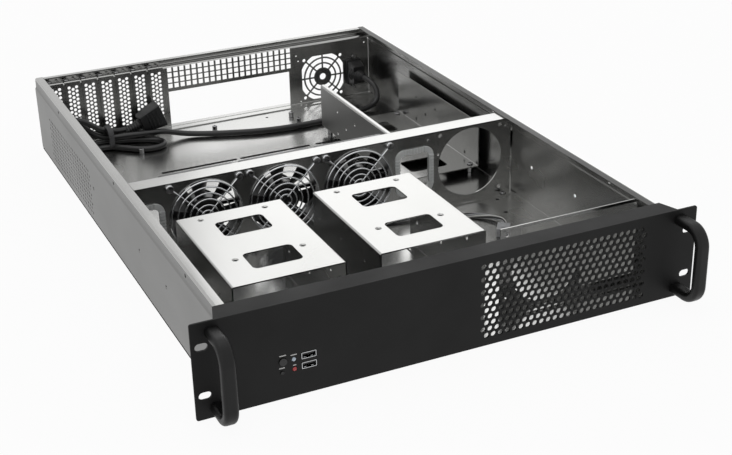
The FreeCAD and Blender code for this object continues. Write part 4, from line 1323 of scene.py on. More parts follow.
@dataclass
class Fan:
    """One fan: housing, rotor and wire guard."""

    number: int
    bore: float = 38.5
    pitch: float = 71.5
    corner: float = 4.5
    rim: float = 4.0
    wall: float = 1.4
    screw_hole: float = 2.2
    carrier: float = 19.0
    strut: float = 1.8
    hub: float = 18.0
    hub_depth: float = 18.0
    hub_corner: float = 1.6
    label: float = 13.0
    label_depth: float = 0.35
    shaft: float = 1.5
    blade_tip: float = 36.2
    blade_depth: float = 9.2
    blade_sunk: float = 1.5
    blade_pitch: float = 40.0
    blade_gauge: float = 1.3
    blade_form: Sequence[tuple[str, float]] = (("BEND", -28.0), ("TAPER", 0.46),
                                               ("TWIST", -20.0))
    blades: int = 7
    chord: float = 26.0
    wire: float = 1.7
    rings: Sequence[float] = (37.2, 30.9, 24.6, 18.3, 12.0, 6.4)
    eye: float = 3.1
    spoke_start: float = 3.0
    seats: list[Point] = field(default_factory=list)

    def build(self) -> None:
        """Make the three pieces of the fan."""
        self.housing(f"fan_frame_{self.number}", f"fan_housing_{self.number}")
        middle = node_middle(f"fan_frame_{self.number}")
        self.rotor(f"fan_rotor_{self.number}", f"fan_blades_{self.number}", middle)
        self.guard(f"fan_guard_{self.number}", f"wire_guard_{self.number}", middle)

    def housing(self, node: str, name: str) -> None:
        """Mould the square housing with its motor carrier on four struts.

        Args:
            node: The CAD node that it stands for.
            name: The piece's name.
        """
        low, high = node_box(node)
        middle = node_middle(node)
        x, _, z = middle
        beyond = (low.y - 1, high.y + 1)
        house = round_edges(add_block(name, tuple(low), tuple(high)), Y_AXIS,
                            self.corner, 5)
        combine(house, [add_pin(f"{name}_bore", x, z, beyond, self.bore, 72)])
        waist = add_block(f"{name}_waist", (low.x - 2, low.y + self.rim, low.z - 2),
                          (high.x + 2, high.y - self.rim, high.z + 2))
        combine(waist, [add_pin(f"{name}_core", x, z, (low.y, high.y),
                                self.bore + self.wall, 72)])
        combine(house, [waist])
        reach = self.pitch / 2
        combine(house, [add_pin(f"{name}_hole", x + side * reach, z + up * reach, beyond,
                                self.screw_hole, 16) for side, up in CORNERS])
        rear = high.y - self.rim
        carrier = add_pin(f"{name}_carrier", x, z, (rear, high.y - 0.2), self.carrier, 48)
        soften(carrier, 0.8, angle=60.0)
        strut = add_block(f"{name}_strut", (x + self.carrier - 2, rear, z - self.strut),
                          (x + self.bore + 0.6, high.y - 0.6, z + self.strut))
        dress(join(name, [house, carrier, ring_of(strut, 4, tuple(middle))]), FAN_PLASTIC,
              stands_for=[node])

    def rotor(self, node: str, name: str, middle: Vector) -> None:
        """Mould the hub and its blades.

        Args:
            node: The CAD node that it stands for.
            name: The piece's name.
            middle: The middle of the housing in millimetres.
        """
        low, high = node_box(node)
        x, _, z = middle
        end = low.y + self.hub_depth
        hub = add_pin(name, x, z, (low.y, end), self.hub, 48)
        soften(hub, self.hub_corner, steps=4, angle=60.0)
        combine(hub, [add_pin(f"{name}_label", x, z,
                              (low.y - 0.5, low.y + self.label_depth), self.label, 48)])
        shaft = add_pin(f"{name}_shaft", x, z, (end - 1, high.y), self.shaft, 16)
        blade = self.blade(name, x, low.y + self.blade_depth, z)
        dress(join(name, [hub, shaft, ring_of(blade, self.blades, tuple(middle))]),
              FAN_PLASTIC, body=f"rotor_{self.number}", stands_for=[node], angle=50.0)

    def blade(self, name: str, x: float, y: float, z: float) -> Piece:
        """Curl, widen and twist one blade, and trim its tip round.

        Args:
            name: The rotor's name.
            x, y, z: The place on the axis that it stands round, in millimetres.

        Returns:
            The blade.
        """
        clear_selection()
        span = self.blade_tip - self.hub + self.blade_sunk + 1
        bpy.ops.mesh.primitive_grid_add(x_subdivisions=8, y_subdivisions=6, size=1.0,
                                        rotation=(math.pi / 2, 0, 0))
        bpy.context.view_layer.objects.active.scale = (span * MM, self.chord * MM, 1.0)
        blade = settle(f"{name}_blade")
        for method, amount in self.blade_form:
            setting = {"factor": amount} if method == "TAPER" else {
                "angle": math.radians(amount)}
            apply(blade, "SIMPLE_DEFORM", deform_method=method, deform_axis="X",
                  **setting)
        pitch = math.radians(self.blade_pitch)
        ways = Matrix(((0, 0, 1), (math.sin(pitch), -math.cos(pitch), 0),
                       (math.cos(pitch), math.sin(pitch), 0))).transposed().to_4x4()
        root = spot(x, y, z + self.hub - self.blade_sunk + span / 2)
        put(blade, Matrix.Translation(root) @ ways)
        apply(blade, "SOLIDIFY", thickness=self.blade_gauge * MM, offset=0.0)
        face_out(blade)
        ring = add_pin(f"{name}_trim", x, z, (y - 20, y + 20), self.blade_tip, 96)
        return combine(blade, [ring], "INTERSECT")

    def guard(self, node: str, name: str, middle: Vector) -> None:
        """Bend the wire guard: rings, crossed spokes and an eye round each screw.

        Args:
            node: The CAD node that it stands for.
            name: The piece's name.
            middle: The middle of the housing in millimetres.
        """
        low, high = node_box(node)
        x, _, z = middle
        spoke_y = high.y - self.wire / 2
        ring_y = spoke_y - self.wire * 0.75
        wires = [add_ring(name, (x, ring_y, z), (0, 1, 0), radius, self.wire)
                 for radius in self.rings]
        reach = self.pitch / 2
        near, far = self.spoke_start, reach - self.eye * 0.75
        for side, up in CORNERS:
            wires.append(add_rod(f"{name}_spoke",
                                 (x + side * near, spoke_y, z + up * near),
                                 (x + side * far, spoke_y, z + up * far),
                                 self.wire / 2, 10))
            across, height = x + side * reach, z + up * reach
            wires.append(add_ring(f"{name}_eye", (across, spoke_y, height), (0, 1, 0),
                                  self.eye, self.wire, 24))
            self.seats.append((across, low.y + 0.4, height))
        dress(join(name, wires), CHROME_WIRE, stands_for=[node], angle=60.0)


# ------------------------------------------------------------------ drive bays

WINDOW_CORNER = 5.0


def window_cutters(middle: float, starts: Sequence[float], size: Pair,
                   heights: Pair) -> list[Piece]:
    """Add the cutters of round-cornered windows in a level sheet.

    Args:
        middle: The windows' middle along X in millimetres.
        starts: Where they start along Y.
        size: Their width and length.
        heights: Where the cutters start and end along Z.

    Returns:
        The cutters.
    """
    width, length = size
    cutters = [add_block("window", (middle - width / 2, start, heights[0]),
                         (middle + width / 2, start + length, heights[1]))
               for start in starts]
    return [round_edges(cutter, Z_AXIS, WINDOW_CORNER, 6) for cutter in cutters]


@dataclass
class DriveCage:
    """A folded drive cage with windows, dimples and screw holes."""

    node: str
    foot: float = 10.0
    window: Pair = (46.5, 32.3)
    window_starts: Sequence[float] = (23.5, 95.5)
    dimple_across: float = 31.6
    dimple_stations: Sequence[float] = (47.9, 140.2)
    dimple_radii: Pair = (1.9, 3.5)
    side_heights: Sequence[float] = (30.0, 56.0)
    side_stations: Sequence[float] = (33.5, 84.5, 134.5)

    def build(self) -> None:
        """Fold the cage, cut and dimple it."""
        low, high = node_box(self.node)
        middle = (low.x + high.x) / 2
        half = high.x - middle
        right = [(half - self.foot, low.z), (half, low.z), (half, high.z)]
        path = right + [(-x, z) for x, z in reversed(right)]
        cage = fold_sheet(f"{self.node}_shell", [(middle + x, low.y, z) for x, z in path],
                          (0.0, high.y - low.y, 0.0), UP)
        windows = window_cutters(middle, [low.y + start for start in self.window_starts],
                                 self.window, (high.z - 4, high.z + 3))
        spots = [(middle + side * self.dimple_across, low.y + along)
                 for side in SIDES for along in self.dimple_stations]
        hole, rim = self.dimple_radii
        combine(cage, windows + [add_rod("dimple", (x, y, high.z - 1.0),
                                         (x, y, high.z + 0.3), hole, 20, rim)
                                 for x, y in spots])
        through = [add_rod("dimple_hole", (x, y, high.z - 4), (x, y, high.z - 0.9), hole,
                           16) for x, y in spots]
        through += [add_rod("side_hole", (low.x - 2, low.y + along, up),
                            (high.x + 2, low.y + along, up), hole, 16)
                    for up in self.side_heights for along in self.side_stations]
        combine(cage, through)
        dress(cage, ZINC_SHEET, stands_for=[self.node])


@dataclass
class RearTray:
    """The rear drive tray on its pillars."""

    node: str = "rear_drive_tray"
    lip: float = 5.0
    window: Pair = (46.0, 32.0)
    window_starts: Sequence[float] = (17.0, 142.0)
    hole_radius: float = 1.9
    side_holes: Loop = ((6.8, 31.0), (33.8, 103.0), (6.8, 152.0), (33.8, 152.0),
                        (20.0, 128.0))
    screw_inset: float = 7.0
    screw_stations: Sequence[float] = (8.0, 192.0)

    def build(self) -> None:
        """Fold the tray and cut its windows and screw holes."""
        low, high = node_box(self.node)
        path = [(low.x + self.lip, high.z), (low.x, high.z), (low.x, low.z),
                (high.x, low.z), (high.x, high.z)]
        tray = fold_sheet("rear_tray_shell", [(x, low.y, z) for x, z in path],
                          (0.0, high.y - low.y, 0.0), DOWN)
        middle = (low.x + high.x) / 2
        cutters = window_cutters(middle, [low.y + start for start in self.window_starts],
                                 self.window, (low.z - 2, low.z + 4))
        cutters += [add_rod("side_hole", (low.x - 2, low.y + along, low.z + up),
                            (high.x + 2, low.y + along, low.z + up), self.hole_radius, 16)
                    for up, along in self.side_holes]
        combine(tray, cutters)
        dress(tray, ZINC_SHEET, stands_for=[self.node])
        # The tray's outer sides get the darker copy of the sheet: painted shade.
        paint_outer_side_shade(tray, middle, (high.x - low.x) / 2 - 0.1)
        seats = [(x, low.y + along, low.z + GAUGE)
                 for x in (low.x + self.screw_inset, high.x - self.screw_inset)
                 for along in self.screw_stations]
        PanHead().group("tray_screws", seats, UP)


# ------------------------------------------------------------------ rear panel

@dataclass
class Grille:
    """The round grille: a hub, rings and spokes in a square with cut corners."""

    middle: Pair = (148.0, 33.6)
    reach: float = 31.5
    square: float = 28.6
    hub: float = 11.8
    hub_hole: float = 4.2
    rings: Sequence[float] = (18.9, 26.0)
    bar: float = 2.0
    spokes: int = 8
    spoke_turn: float = 0.2
    boss: float = 4.6
    screw: float = 25.0
    screw_hole: float = 2.1

    def around(self) -> Loop:
        """Return the places of the four screw holes in millimetres."""
        x, z = self.middle
        return [(x + side * self.screw, z + up * self.screw) for side, up in CORNERS]

    def cutter(self, near: float, far: float) -> Piece:
        """Make one cutter for all the gaps.

        Args:
            near, far: Where it starts and ends along Y, in millimetres.

        Returns:
            The cutter.
        """
        x, z = self.middle

        def disc(radius: float, over: float = 0.0) -> Piece:
            """Add a disc that reaches over both ends of the cutter."""
            return add_pin("grille_disc", x, z, (near - over, far + over), radius, 72)
        gaps = combine(disc(self.reach), [
            add_slab("grille_square", x, z, (near - 1, far + 1),
                     (self.square, self.square))], "INTERSECT")
        metal = [combine(disc(self.hub, 1.4), [disc(self.hub_hole, 2.4)])]
        for step, radius in enumerate(self.rings):
            over = 1.6 + 0.2 * step
            metal.append(combine(disc(radius, over), [disc(radius - self.bar, over + 1)]))
        for turn in range(self.spokes):
            spoke = add_block("spoke", (x + self.hub_hole + 3, near - 1, z - self.bar / 2),
                              (x + self.reach + 1.5, far + 1, z + self.bar / 2))
            metal.append(turn_piece(spoke, turn * 360 / self.spokes + self.spoke_turn,
                                    (x, 0, z), "Y"))
        metal += [add_pin("boss", across, up, (near - 2.5, far + 2.5), self.boss)
                  for across, up in self.around()]
        return combine(gaps, metal, overlapping=True)


@dataclass
class RearPanel:
    """The folded rear panel, its openings and the slot covers."""

    foot: float = 10.0
    ledge: float = 78.5
    lip: float = 8.0
    corner: Pair = (9.3, 20.0)
    side_gap: float = 0.9
    side_return: Pair = (3.0, 74.0)
    slot_half: Pair = (6.7, 31.0)
    slot_middle: float = 45.0
    port: tuple[float, float, float, float] = (-56.6, 2.95, 158.75, 44.45)
    mesh_counts: tuple[int, int] = (21, 4)
    mesh_half: float = 2.75
    mesh_low: float = 54.4
    mesh_rise: float = 6.9
    mesh_margins: Pair = (0.8, 4.4)
    inlet_hole: Pair = (20.4, 13.8)
    small_holes: Loop = ((115.0, 58.8), (116.8, 5.0), (112.5, 66.0), (207.0, 70.0))
    small_hole: float = 0.9
    grille: Grille = field(default_factory=Grille)
    cover_holes: Loop = ((-4.45, 17.0), (0.0, 14.45), (4.45, 17.0))
    cover_hole: float = 1.95
    cover_rows: int = 12
    cover_rise: float = 5.1
    cover_notch: Pair = (3.0, 6.0)
    cover_screw: float = -6.0

    def build(self) -> None:
        """Fold and cut the panel, then hang the slot covers."""
        low, high = node_box("rear_panel")
        wall = low.y + self.foot
        outer = wall + GAUGE
        path = [(low.y, low.z), (outer, low.z), (outer, self.ledge), (high.y, self.ledge),
                (high.y, high.z), (high.y - self.lip, high.z)]
        panel = fold_sheet("rear_wall", [(low.x, y, z) for y, z in path],
                           (high.x - low.x, 0.0, 0.0), UP)
        width, depth = self.corner
        inner = node_box("chassis_tray")[1].x - GAUGE - width
        combine(panel, [add_block("corner", (left, high.y - depth, high.z - GAUGE - 0.1),
                                  (right, high.y + 1, high.z + 1))
                        for left, right in mirrored(inner, high.x + 1)])
        bottom, top = self.side_return
        returns = [add_block("side_return", (left, wall, bottom), (right, outer, top))
                   for left, right in reversed(mirrored(high.x - 0.1,
                                                        high.x + self.side_gap))]
        combine(panel, self.cutters((wall - 2, wall + 4)))
        combine(panel, [self.grille.cutter(wall - 2, wall + 4)])
        dress(join("rear_wall", [panel, *returns]), ZINC_SHEET,
              stands_for=["rear_panel"])
        self.covers(wall)

    def cutters(self, ends: Pair) -> list[Piece]:
        """Make the cutters of the slots, the port opening, mesh and inlet.

        Args:
            ends: Where they start and end along Y, in millimetres.

        Returns:
            The cutters.
        """
        cutters = [add_slab("slot", node_middle(f"slot_cover_{number}").x,
                            self.slot_middle, ends, self.slot_half)
                   for number in SLOT_NUMBERS]
        left, bottom, width, height = self.port
        cutters.append(add_block("port", (left, ends[0], bottom),
                                 (left + width, ends[1], bottom + height)))
        columns, rows = self.mesh_counts
        before, more = self.mesh_margins
        step = (width + more) / columns
        square = add_slab("mesh", left - before + step / 2, self.mesh_low, ends,
                          (self.mesh_half, self.mesh_half))
        repeat(square, columns, (step, 0, 0))
        cutters.append(repeat(square, rows, (0, 0, self.mesh_rise)))
        edge = node_box("inlet_connector")[0].x
        middle = node_middle("inlet_screws").z
        wide, tall = self.inlet_hole
        cutters.append(add_block("inlet_hole", (edge, ends[0], middle - tall),
                                 (edge + wide, ends[1], middle + tall)))
        cutters += [add_pin("small_hole", x, z, ends, self.small_hole, 12)
                    for x, z in self.small_holes]
        return cutters + [add_pin("fan_hole", x, z, ends, self.grille.screw_hole, 20)
                          for x, z in self.grille.around()]

    def covers(self, wall: float) -> None:
        """Cut one perforated cover, copy it to the seven slots and screw them down.

        Args:
            wall: Where the panel's inner face lies along Y, in millimetres.
        """
        low, high = node_box("slot_cover_1")
        middles = [node_middle(f"slot_cover_{number}").x for number in SLOT_NUMBERS]
        middle = middles[0]
        cover = fold_sheet("cover_1", [(low.x, low.y, low.z), (low.x, low.y, high.z),
                                       (low.x, high.y, high.z)],
                           (high.x - low.x, 0.0, 0.0), (0, 1, 0), 1.4, wall - low.y)
        combine(cover, [repeat(add_pin("cover_hole", middle + x, z, (low.y - 2, wall + 2),
                                       self.cover_hole, 10), self.cover_rows,
                               (0, 0, self.cover_rise)) for x, z in self.cover_holes])
        near, far = self.cover_notch
        combine(cover, [add_block("cover_notch", (middle + near, high.y - 5, high.z - 3),
                                  (middle + far, high.y + 1, high.z + 1))])
        for number, across in zip(SLOT_NUMBERS[1:], middles[1:]):
            twin = copy_piece(cover, f"cover_{number}", (across - middle, 0, 0))
            dress(twin, ZINC_SHEET, stands_for=[f"slot_cover_{number}"])
        dress(cover, ZINC_SHEET, stands_for=["slot_cover_1"])
        seat_y = node_middle("slot_screws").y
        PanHead().group("cover_screws", [(x + self.cover_screw, seat_y, high.z)
                                         for x in middles], UP, "slot_screws")


# ------------------------------------------------------------------ leads

def add_curve(name: str, kind: str, places: Sequence[Vector], diameter: float,
              finish: Finish) -> Piece:
    """Lay a lead along its control points.

    Args:
        name: The piece's name.
        kind: NURBS for a smooth line, POLY for a straight-sided one.
        places: The control points in metres.
        diameter: Its thickness in millimetres.
        finish: Its surface finish.

    Returns:
        The curve.
    """
    curve = bpy.data.curves.new(name, "CURVE")
    curve.dimensions = "3D"
    spline = curve.splines.new(kind)
    spline.points.add(len(places) - 1)
    for control, place in zip(spline.points, places):
        control.co = (*place, 1.0)
    if kind == "NURBS":
        spline.order_u = 3
        spline.use_endpoint_u = True
        spline.resolution_u = 10
    curve.bevel_depth = diameter * MM / 2
    curve.use_fill_caps = True
    curve.materials.append(finish.build())
    lead = bpy.data.objects.new(name, curve)
    bpy.context.scene.collection.objects.link(lead)
    return lead


def add_route(name: str, route: Sequence[Point], diameter: float,
              finish: Finish) -> Piece:
    """Lay a smooth lead.

    Args:
        name: The piece's name.
        route: Its control points in millimetres.
        diameter: Its thickness in millimetres.
        finish: Its surface finish.

    Returns:
        The curve.
    """
    lead = add_curve(name, "NURBS", [spot(*place) for place in route], diameter, finish)
    lead.data.bevel_resolution = 5
    return lead


def centreline(lead: Piece) -> list[Vector]:
    """Read a lead's smooth line with its bevel off.

    Args:
        lead: The lead's curve.

    Returns:
        The points of the line in metres.
    """
    depth = lead.data.bevel_depth
    lead.data.bevel_depth = 0.0
    bpy.context.view_layer.update()
    line = bpy.data.meshes.new_from_object(
        lead.evaluated_get(bpy.context.evaluated_depsgraph_get()))
    points = [vertex.co.copy() for vertex in line.vertices]
    bpy.data.meshes.remove(line)
    lead.data.bevel_depth = depth
    return points


def ribbed_relief(name: str, start: Point, end: Point, radii: Pair,
                  ribs: int = 6) -> Piece:
    """Mould a tapered strain relief with rings along it.

    Args:
        name: The piece's name.
        start, end: Its ends in millimetres.
        radii: Its radius at the two ends.
        ribs: How many rings it has.

    Returns:
        The relief.
    """
    along = Vector(end) - Vector(start)
    rings = [add_rod(name, start, end, radii[0], 32, radii[1])]
    for index in range(ribs):
        share = (index + 0.7) / (ribs + 0.4)
        radius = radii[0] + (radii[1] - radii[0]) * share
        rings.append(add_ring(f"{name}_rib", tuple(Vector(start) + along * share),
                              tuple(along.normalized()), radius + 0.1, 1.7, 32))
    return join(name, rings)


INLET_EXIT: Point = (190.0, 622.0, 34.0)
POWER_ROUTE: list[Point] = [
    INLET_EXIT, (195.0, 604.0, 34.0), (200.0, 590.0, 24.0), (197.0, 583.0, 10.5),
    (180.0, 578.5, 4.9), (150.0, 570.0, 4.8), (114.0, 565.0, 4.8), (72.0, 563.5, 4.8),
    (33.0, 569.5, 4.8), (4.0, 579.0, 4.8), (-22.0, 589.0, 4.8), (-46.0, 600.0, 5.2),
    (-61.0, 604.0, 8.0), (-76.0, 606.0, 12.2), (-94.0, 607.5, 12.8),
    (-110.0, 610.0, 12.8), (-126.0, 613.0, 12.6), (-142.5, 615.0, 12.4),
    (-157.0, 617.0, 17.0), (-170.0, 619.5, 29.0), (-182.0, 621.5, 41.0),
    (-198.0, 622.5, 41.0), (-206.0, 622.5, 26.0), (-203.0, 622.5, 10.0),
    (-190.0, 622.5, 4.9), (-172.0, 622.0, 4.8), (-157.0, 621.5, 4.8),
    (-142.5, 621.0, 4.9), (-127.0, 619.0, 4.8), (-111.0, 614.5, 4.8),
    (-95.0, 606.5, 4.8), (-82.0, 596.0, 4.8), (-84.0, 581.0, 4.8), (-99.0, 576.0, 4.8),
    (-115.0, 581.0, 4.8), (-129.0, 593.0, 4.8), (-142.5, 605.5, 4.9),
    (-160.0, 606.5, 4.8), (-180.0, 606.5, 4.8), (-198.0, 607.0, 6.0),
    (-207.0, 608.0, 19.0), (-205.0, 609.0, 36.0), (-191.0, 610.0, 46.0),
    (-175.0, 611.0, 42.0), (-162.0, 612.0, 33.0), (-152.0, 612.5, 25.4),
    (-142.5, 614.5, 21.2), (-131.0, 620.3, 16.9), (-119.6, 622.0, 16.7),
]


@dataclass
class PowerLead:
    """The mains lead from the rear inlet to its tied hank and socket."""

    diameter: float = 6.8
    face_rise: float = 0.8
    flange_ends: Pair = (-1.5, 2.5)
    flange_half: Pair = (10.0, 16.5)
    body_half: Pair = (9.2, 15.5)
    body_depth: float = 16.5
    body_taper: Point = (0.84, 1.0, 0.74)
    shroud_half: Pair = (10.0, 13.6)
    cavity_half: Pair = (8.4, 12.0)
    inlet_pins: Loop = ((-3.0, -6.0), (3.0, 0.0), (-3.0, 6.0))
    inlet_pin_half: Pair = (1.0, 2.0)
    inlet_relief: Pair = (8.6, 4.1)
    inlet_relief_ends: Pair = (-12.0, 9.0)
    inlet_screw: PanHead = PanHead(2.7, 1.0)
    inlet_screw_rise: float = 20.0
    socket_size: Point = (29.0, 21.0, 29.5)
    socket_corner: Point = (-101.0, 622.0, 20.6)
    socket_taper: Point = (1.0, 0.78, 0.72)
    socket_slots: Loop = ((-3.0, -6.5), (3.0, 0.0), (-3.0, 6.5))
    socket_slot: Point = (9.0, 1.1, 2.3)
    socket_grips: Sequence[float] = (10.0, 14.0, 18.0, 22.0)
    socket_grip: Point = (1.4, 0.6, 5.0)
    socket_relief: Pair = (6.0, 4.2)
    socket_lean: float = -20.0
    strap_width: float = 6.4
    strap_gauge: float = 1.5
    strap_corner: float = 8.0
    strap_inset: Point = (3.0, 1.0, 0.2)
    strap_tail: Point = (1.6, 7.0, 8.0)

    def build(self) -> None:
        """Lay the lead and make the pieces on it."""
        lead = add_route("mains_lead", POWER_ROUTE, self.diameter, CORD_PVC)
        points = centreline(lead)
        dress(lead, CORD_PVC, stands_for=["power_cord", "cord_tail", "cord_hank"])
        self.inlet()
        socket = self.socket()
        strap = self.strap()

    def inlet(self) -> None:
        """Mould the screwed inlet and its angled cord exit."""
        rear = node_box("inlet_connector")[1].y
        x, face, z = node_middle("inlet_screws")
        face += self.face_rise
        near, far = self.flange_ends
        flange = add_slab("inlet_moulding", x, z, (face + near, face + far),
                          self.flange_half)
        round_edges(flange, Y_AXIS, 2.0, 5)
        body = add_slab("inlet_body", x, z, (face - self.body_depth, face + 0.5),
                        self.body_half)
        round_edges(body, Y_AXIS, 2.0, 3)
        pick(body, lambda place: place.y < spot(0, face - self.body_depth + 0.5, 0).y)
        bpy.ops.transform.resize(value=self.body_taper)
        bpy.ops.object.mode_set(mode="OBJECT")
        shroud = add_slab("inlet_shroud", x, z, (face + 2.4, rear), self.shroud_half)
        combine(shroud, [add_slab("inlet_cavity", x, z, (face + 3.5, rear + 2),
                                  self.cavity_half)])
        start = Vector(INLET_EXIT)
        away = (Vector(POWER_ROUTE[1]) - start).normalized()
        near, far = self.inlet_relief_ends
        relief = ribbed_relief("inlet_relief", tuple(start + away * near),
                               tuple(start + away * far), self.inlet_relief)
        black = join("inlet_moulding", [soften(flange, 0.4), soften(body, 0.8), shroud,
                                        relief])
        dress(black, PLUG_PVC, stands_for=["inlet_connector"])
        pins = [add_slab("inlet_pins", x + across, z + up, (face + 3.0, rear - 1.5),
                         self.inlet_pin_half) for across, up in self.inlet_pins]
        dress(join("inlet_pins", [soften(pin, 0.4) for pin in pins]), TINNED_SHELL)
        seats = [(x, face, z + side * self.inlet_screw_rise) for side in SIDES]
        self.inlet_screw.group("inlet_screw_heads", seats, FORWARD, "inlet_screws")

    def socket(self) -> Piece:
        """Mould the cord socket, leaning on its lower front edge.

        Returns:
            The socket with its strain relief.
        """
        x, y, z = self.socket_corner
        long, wide, tall = self.socket_size
        block = add_block("lead_socket", (x, y - wide / 2, z - tall / 2),
                          (x + long, y + wide / 2, z + tall / 2))
        near = spot(x + 1, 0, 0).x
        pick(block, lambda place: place.x < near)
        bpy.ops.transform.resize(value=self.socket_taper)
        bpy.ops.object.mode_set(mode="OBJECT")
        soften(block, 1.8, steps=3, angle=30.0)
        depth, half, rise = self.socket_slot
        slots = [add_block("socket_slot", (x + long - depth, y + across - half,
                                           z + up - rise),
                           (x + long + 2, y + across + half, z + up + rise))
                 for across, up in self.socket_slots]
        length, out, inset = self.socket_grip
        half, rise = wide / 2 + out, tall / 2 - inset
        grips = [add_block("socket_grip", (x + start, y - half, z - rise),
                           (x + start + length, y + half, z + rise))
                 for start in self.socket_grips]
        combine(block, slots)
        relief = ribbed_relief("socket_relief", (x + 1.0, y, z), (x - 19.0, y, z),
                               self.socket_relief)
        socket = join("lead_socket", [block, relief, *[soften(grip, 0.4)
                                                       for grip in grips]])
        turn_piece(socket, self.socket_lean, (x, y, z), "Y")
        return dress(socket, PLUG_PVC, stands_for=["cord_socket"])

    def strap(self) -> Piece:
        """Wrap the strap round the hank.

        Returns:
            The strap with its loose end.
        """
        low, high = node_box("cord_tie")
        inset = (high.x - low.x - self.strap_width) / 2
        before, behind, below = self.strap_inset
        front, rear, top = low.y + before, high.y - behind, high.z - below
        gauge = self.strap_gauge
        strap = round_edges(add_block("lead_strap", (low.x + inset, front, low.z),
                                      (high.x - inset, rear, top)), X_AXIS,
                            self.strap_corner, 6)
        core = add_block("strap_core", (low.x - 2, front + gauge, low.z + gauge),
                         (high.x + 2, rear - gauge, top - gauge))
        combine(strap, [round_edges(core, X_AXIS, self.strap_corner - gauge, 6)])
        soften(strap, 0.3, angle=50.0)
        before, above, below = self.strap_tail
        tail = add_block("strap_tail",
                         (low.x + inset + 0.4, low.y + before, low.z + above),
                         (high.x - inset - 0.4, front, high.z - below))
        return dress(join("lead_strap", [strap, soften(tail, 0.4)]), STRAP_NYLON,
                     stands_for=["cord_tie"])


LEAD_ROUTE: list[Point] = [
    (-153.5, 23.5, 20.5), (-152.0, 33.0, 16.5), (-146.0, 44.0, 8.0),
    (-128.0, 49.0, 4.2), (-104.0, 50.5, 4.0), (-82.0, 55.0, 4.0), (-66.0, 72.0, 4.0),
    (-62.0, 100.0, 4.0), (-64.0, 132.0, 4.0), (-62.5, 168.0, 4.0), (-62.0, 204.0, 4.0),
    (-52.0, 234.0, 4.0), (-26.0, 250.0, 4.0), (10.0, 258.0, 4.0), (46.0, 262.0, 4.0),
    (80.0, 262.0, 4.0), (110.0, 251.0, 4.0), (140.0, 238.0, 4.0), (159.0, 222.0, 4.2),
    (163.0, 205.0, 5.4), (155.0, 194.0, 6.0),
]


@dataclass
class SignalLead:
    """The front controls' wires and the small plug at their end."""

    diameter: float = 5.0
    wire: float = 1.5
    finishes: Sequence[Finish] = (WIRE_BLACK, WIRE_WHITE, WIRE_GREY) * 2
    lay_length: float = 90.0
    plug_half: Point = (6.5, 8.5, 4.6)
    plug_turn: float = -35.0
    contacts: int = 5
    contact_pitch: float = 2.5

    def build(self) -> None:
        """Lay the wires round their common line, and make the plug."""
        guide = add_route("wire_guide", LEAD_ROUTE, self.diameter, WIRE_GREY)
        line = centreline(guide)
        bpy.data.objects.remove(guide, do_unlink=True)
        bundle = join("front_wires", [self.strand(line, index)
                                      for index in range(len(self.finishes))])
        take(bundle)
        bpy.ops.object.shade_smooth_by_angle(angle=math.radians(60))
        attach(bundle, CASE)
        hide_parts("front_lead")
        LOG.info("%s in %d wires", bundle.name, len(self.finishes))
        plug = self.plug()

    def strand(self, line: Sequence[Vector], index: int) -> Piece:
        """Lay one wire that winds gently round the common line.

        Args:
            line: The common line's points in metres.
            index: Which wire it is.

        Returns:
            The wire as a mesh.
        """
        reach = (self.diameter - self.wire) / 2 * MM
        start = index / len(self.finishes)
        places = []
        run = 0.0
        for number, place in enumerate(line):
            ahead = line[min(number + 1, len(line) - 1)]
            behind = line[max(number - 1, 0)]
            heading = (ahead - behind).normalized()
            side = heading.cross(Vector(UP)).normalized()
            above = side.cross(heading).normalized()
            angle = 2 * math.pi * (start + run / (self.lay_length * MM))
            places.append(place + side * (reach * math.cos(angle))
                          + above * (reach * math.sin(angle)))
            run += (ahead - place).length
        wire = add_curve(f"wire_{index}", "POLY", places, self.wire, self.finishes[index])
        wire.data.bevel_resolution = 2
        take(wire)
        bpy.ops.object.convert(target="MESH")
        return bpy.context.view_layer.objects.active

    def plug(self) -> Piece:
        """Mould the small plug: a keyed block with a row of contacts.

        Returns:
            The plug.
        """
        middle = node_middle("lead_connector")
        x, y, z = middle
        half = Vector(self.plug_half)
        block = add_block("wire_plug", tuple(middle - half), tuple(middle + half))
        soften(block, 0.5, angle=60.0)
        key = add_block("plug_key", (x - 2, y - 4, z + 4.5), (x + 2, y + 6, z + 5.3))
        contact = add_block("plug_hole", (x - 5.6, y - 9.5, z - 0.7),
                            (x - 4.4, y - 4, z + 0.7))
        combine(block, [repeat(contact, self.contacts, (self.contact_pitch, 0, 0))])
        plug = join("wire_plug", [block, key])
        turn_piece(plug, self.plug_turn, (x, y, z), "Z")
        return dress(plug, WIRE_GREY, stands_for=["lead_connector"])


# ------------------------------------------------------------------ studio

@dataclass(frozen=True)
class Lamp:
    """A soft square lamp that looks at the case, in metres and watts."""

    name: str
    place: Point
    size: float
    power: float

    def hang(self) -> None:
        """Hang the lamp."""
        light = bpy.data.lights.new(self.name, "AREA")
        light.shape = "SQUARE"
        light.size = self.size
        light.energy = self.power
        lamp = bpy.data.objects.new(self.name, light)
        lamp.location = self.place
        lamp.rotation_euler = (-Vector(self.place)).to_track_quat("-Z", "Y").to_euler()
        bpy.context.scene.collection.objects.link(lamp)


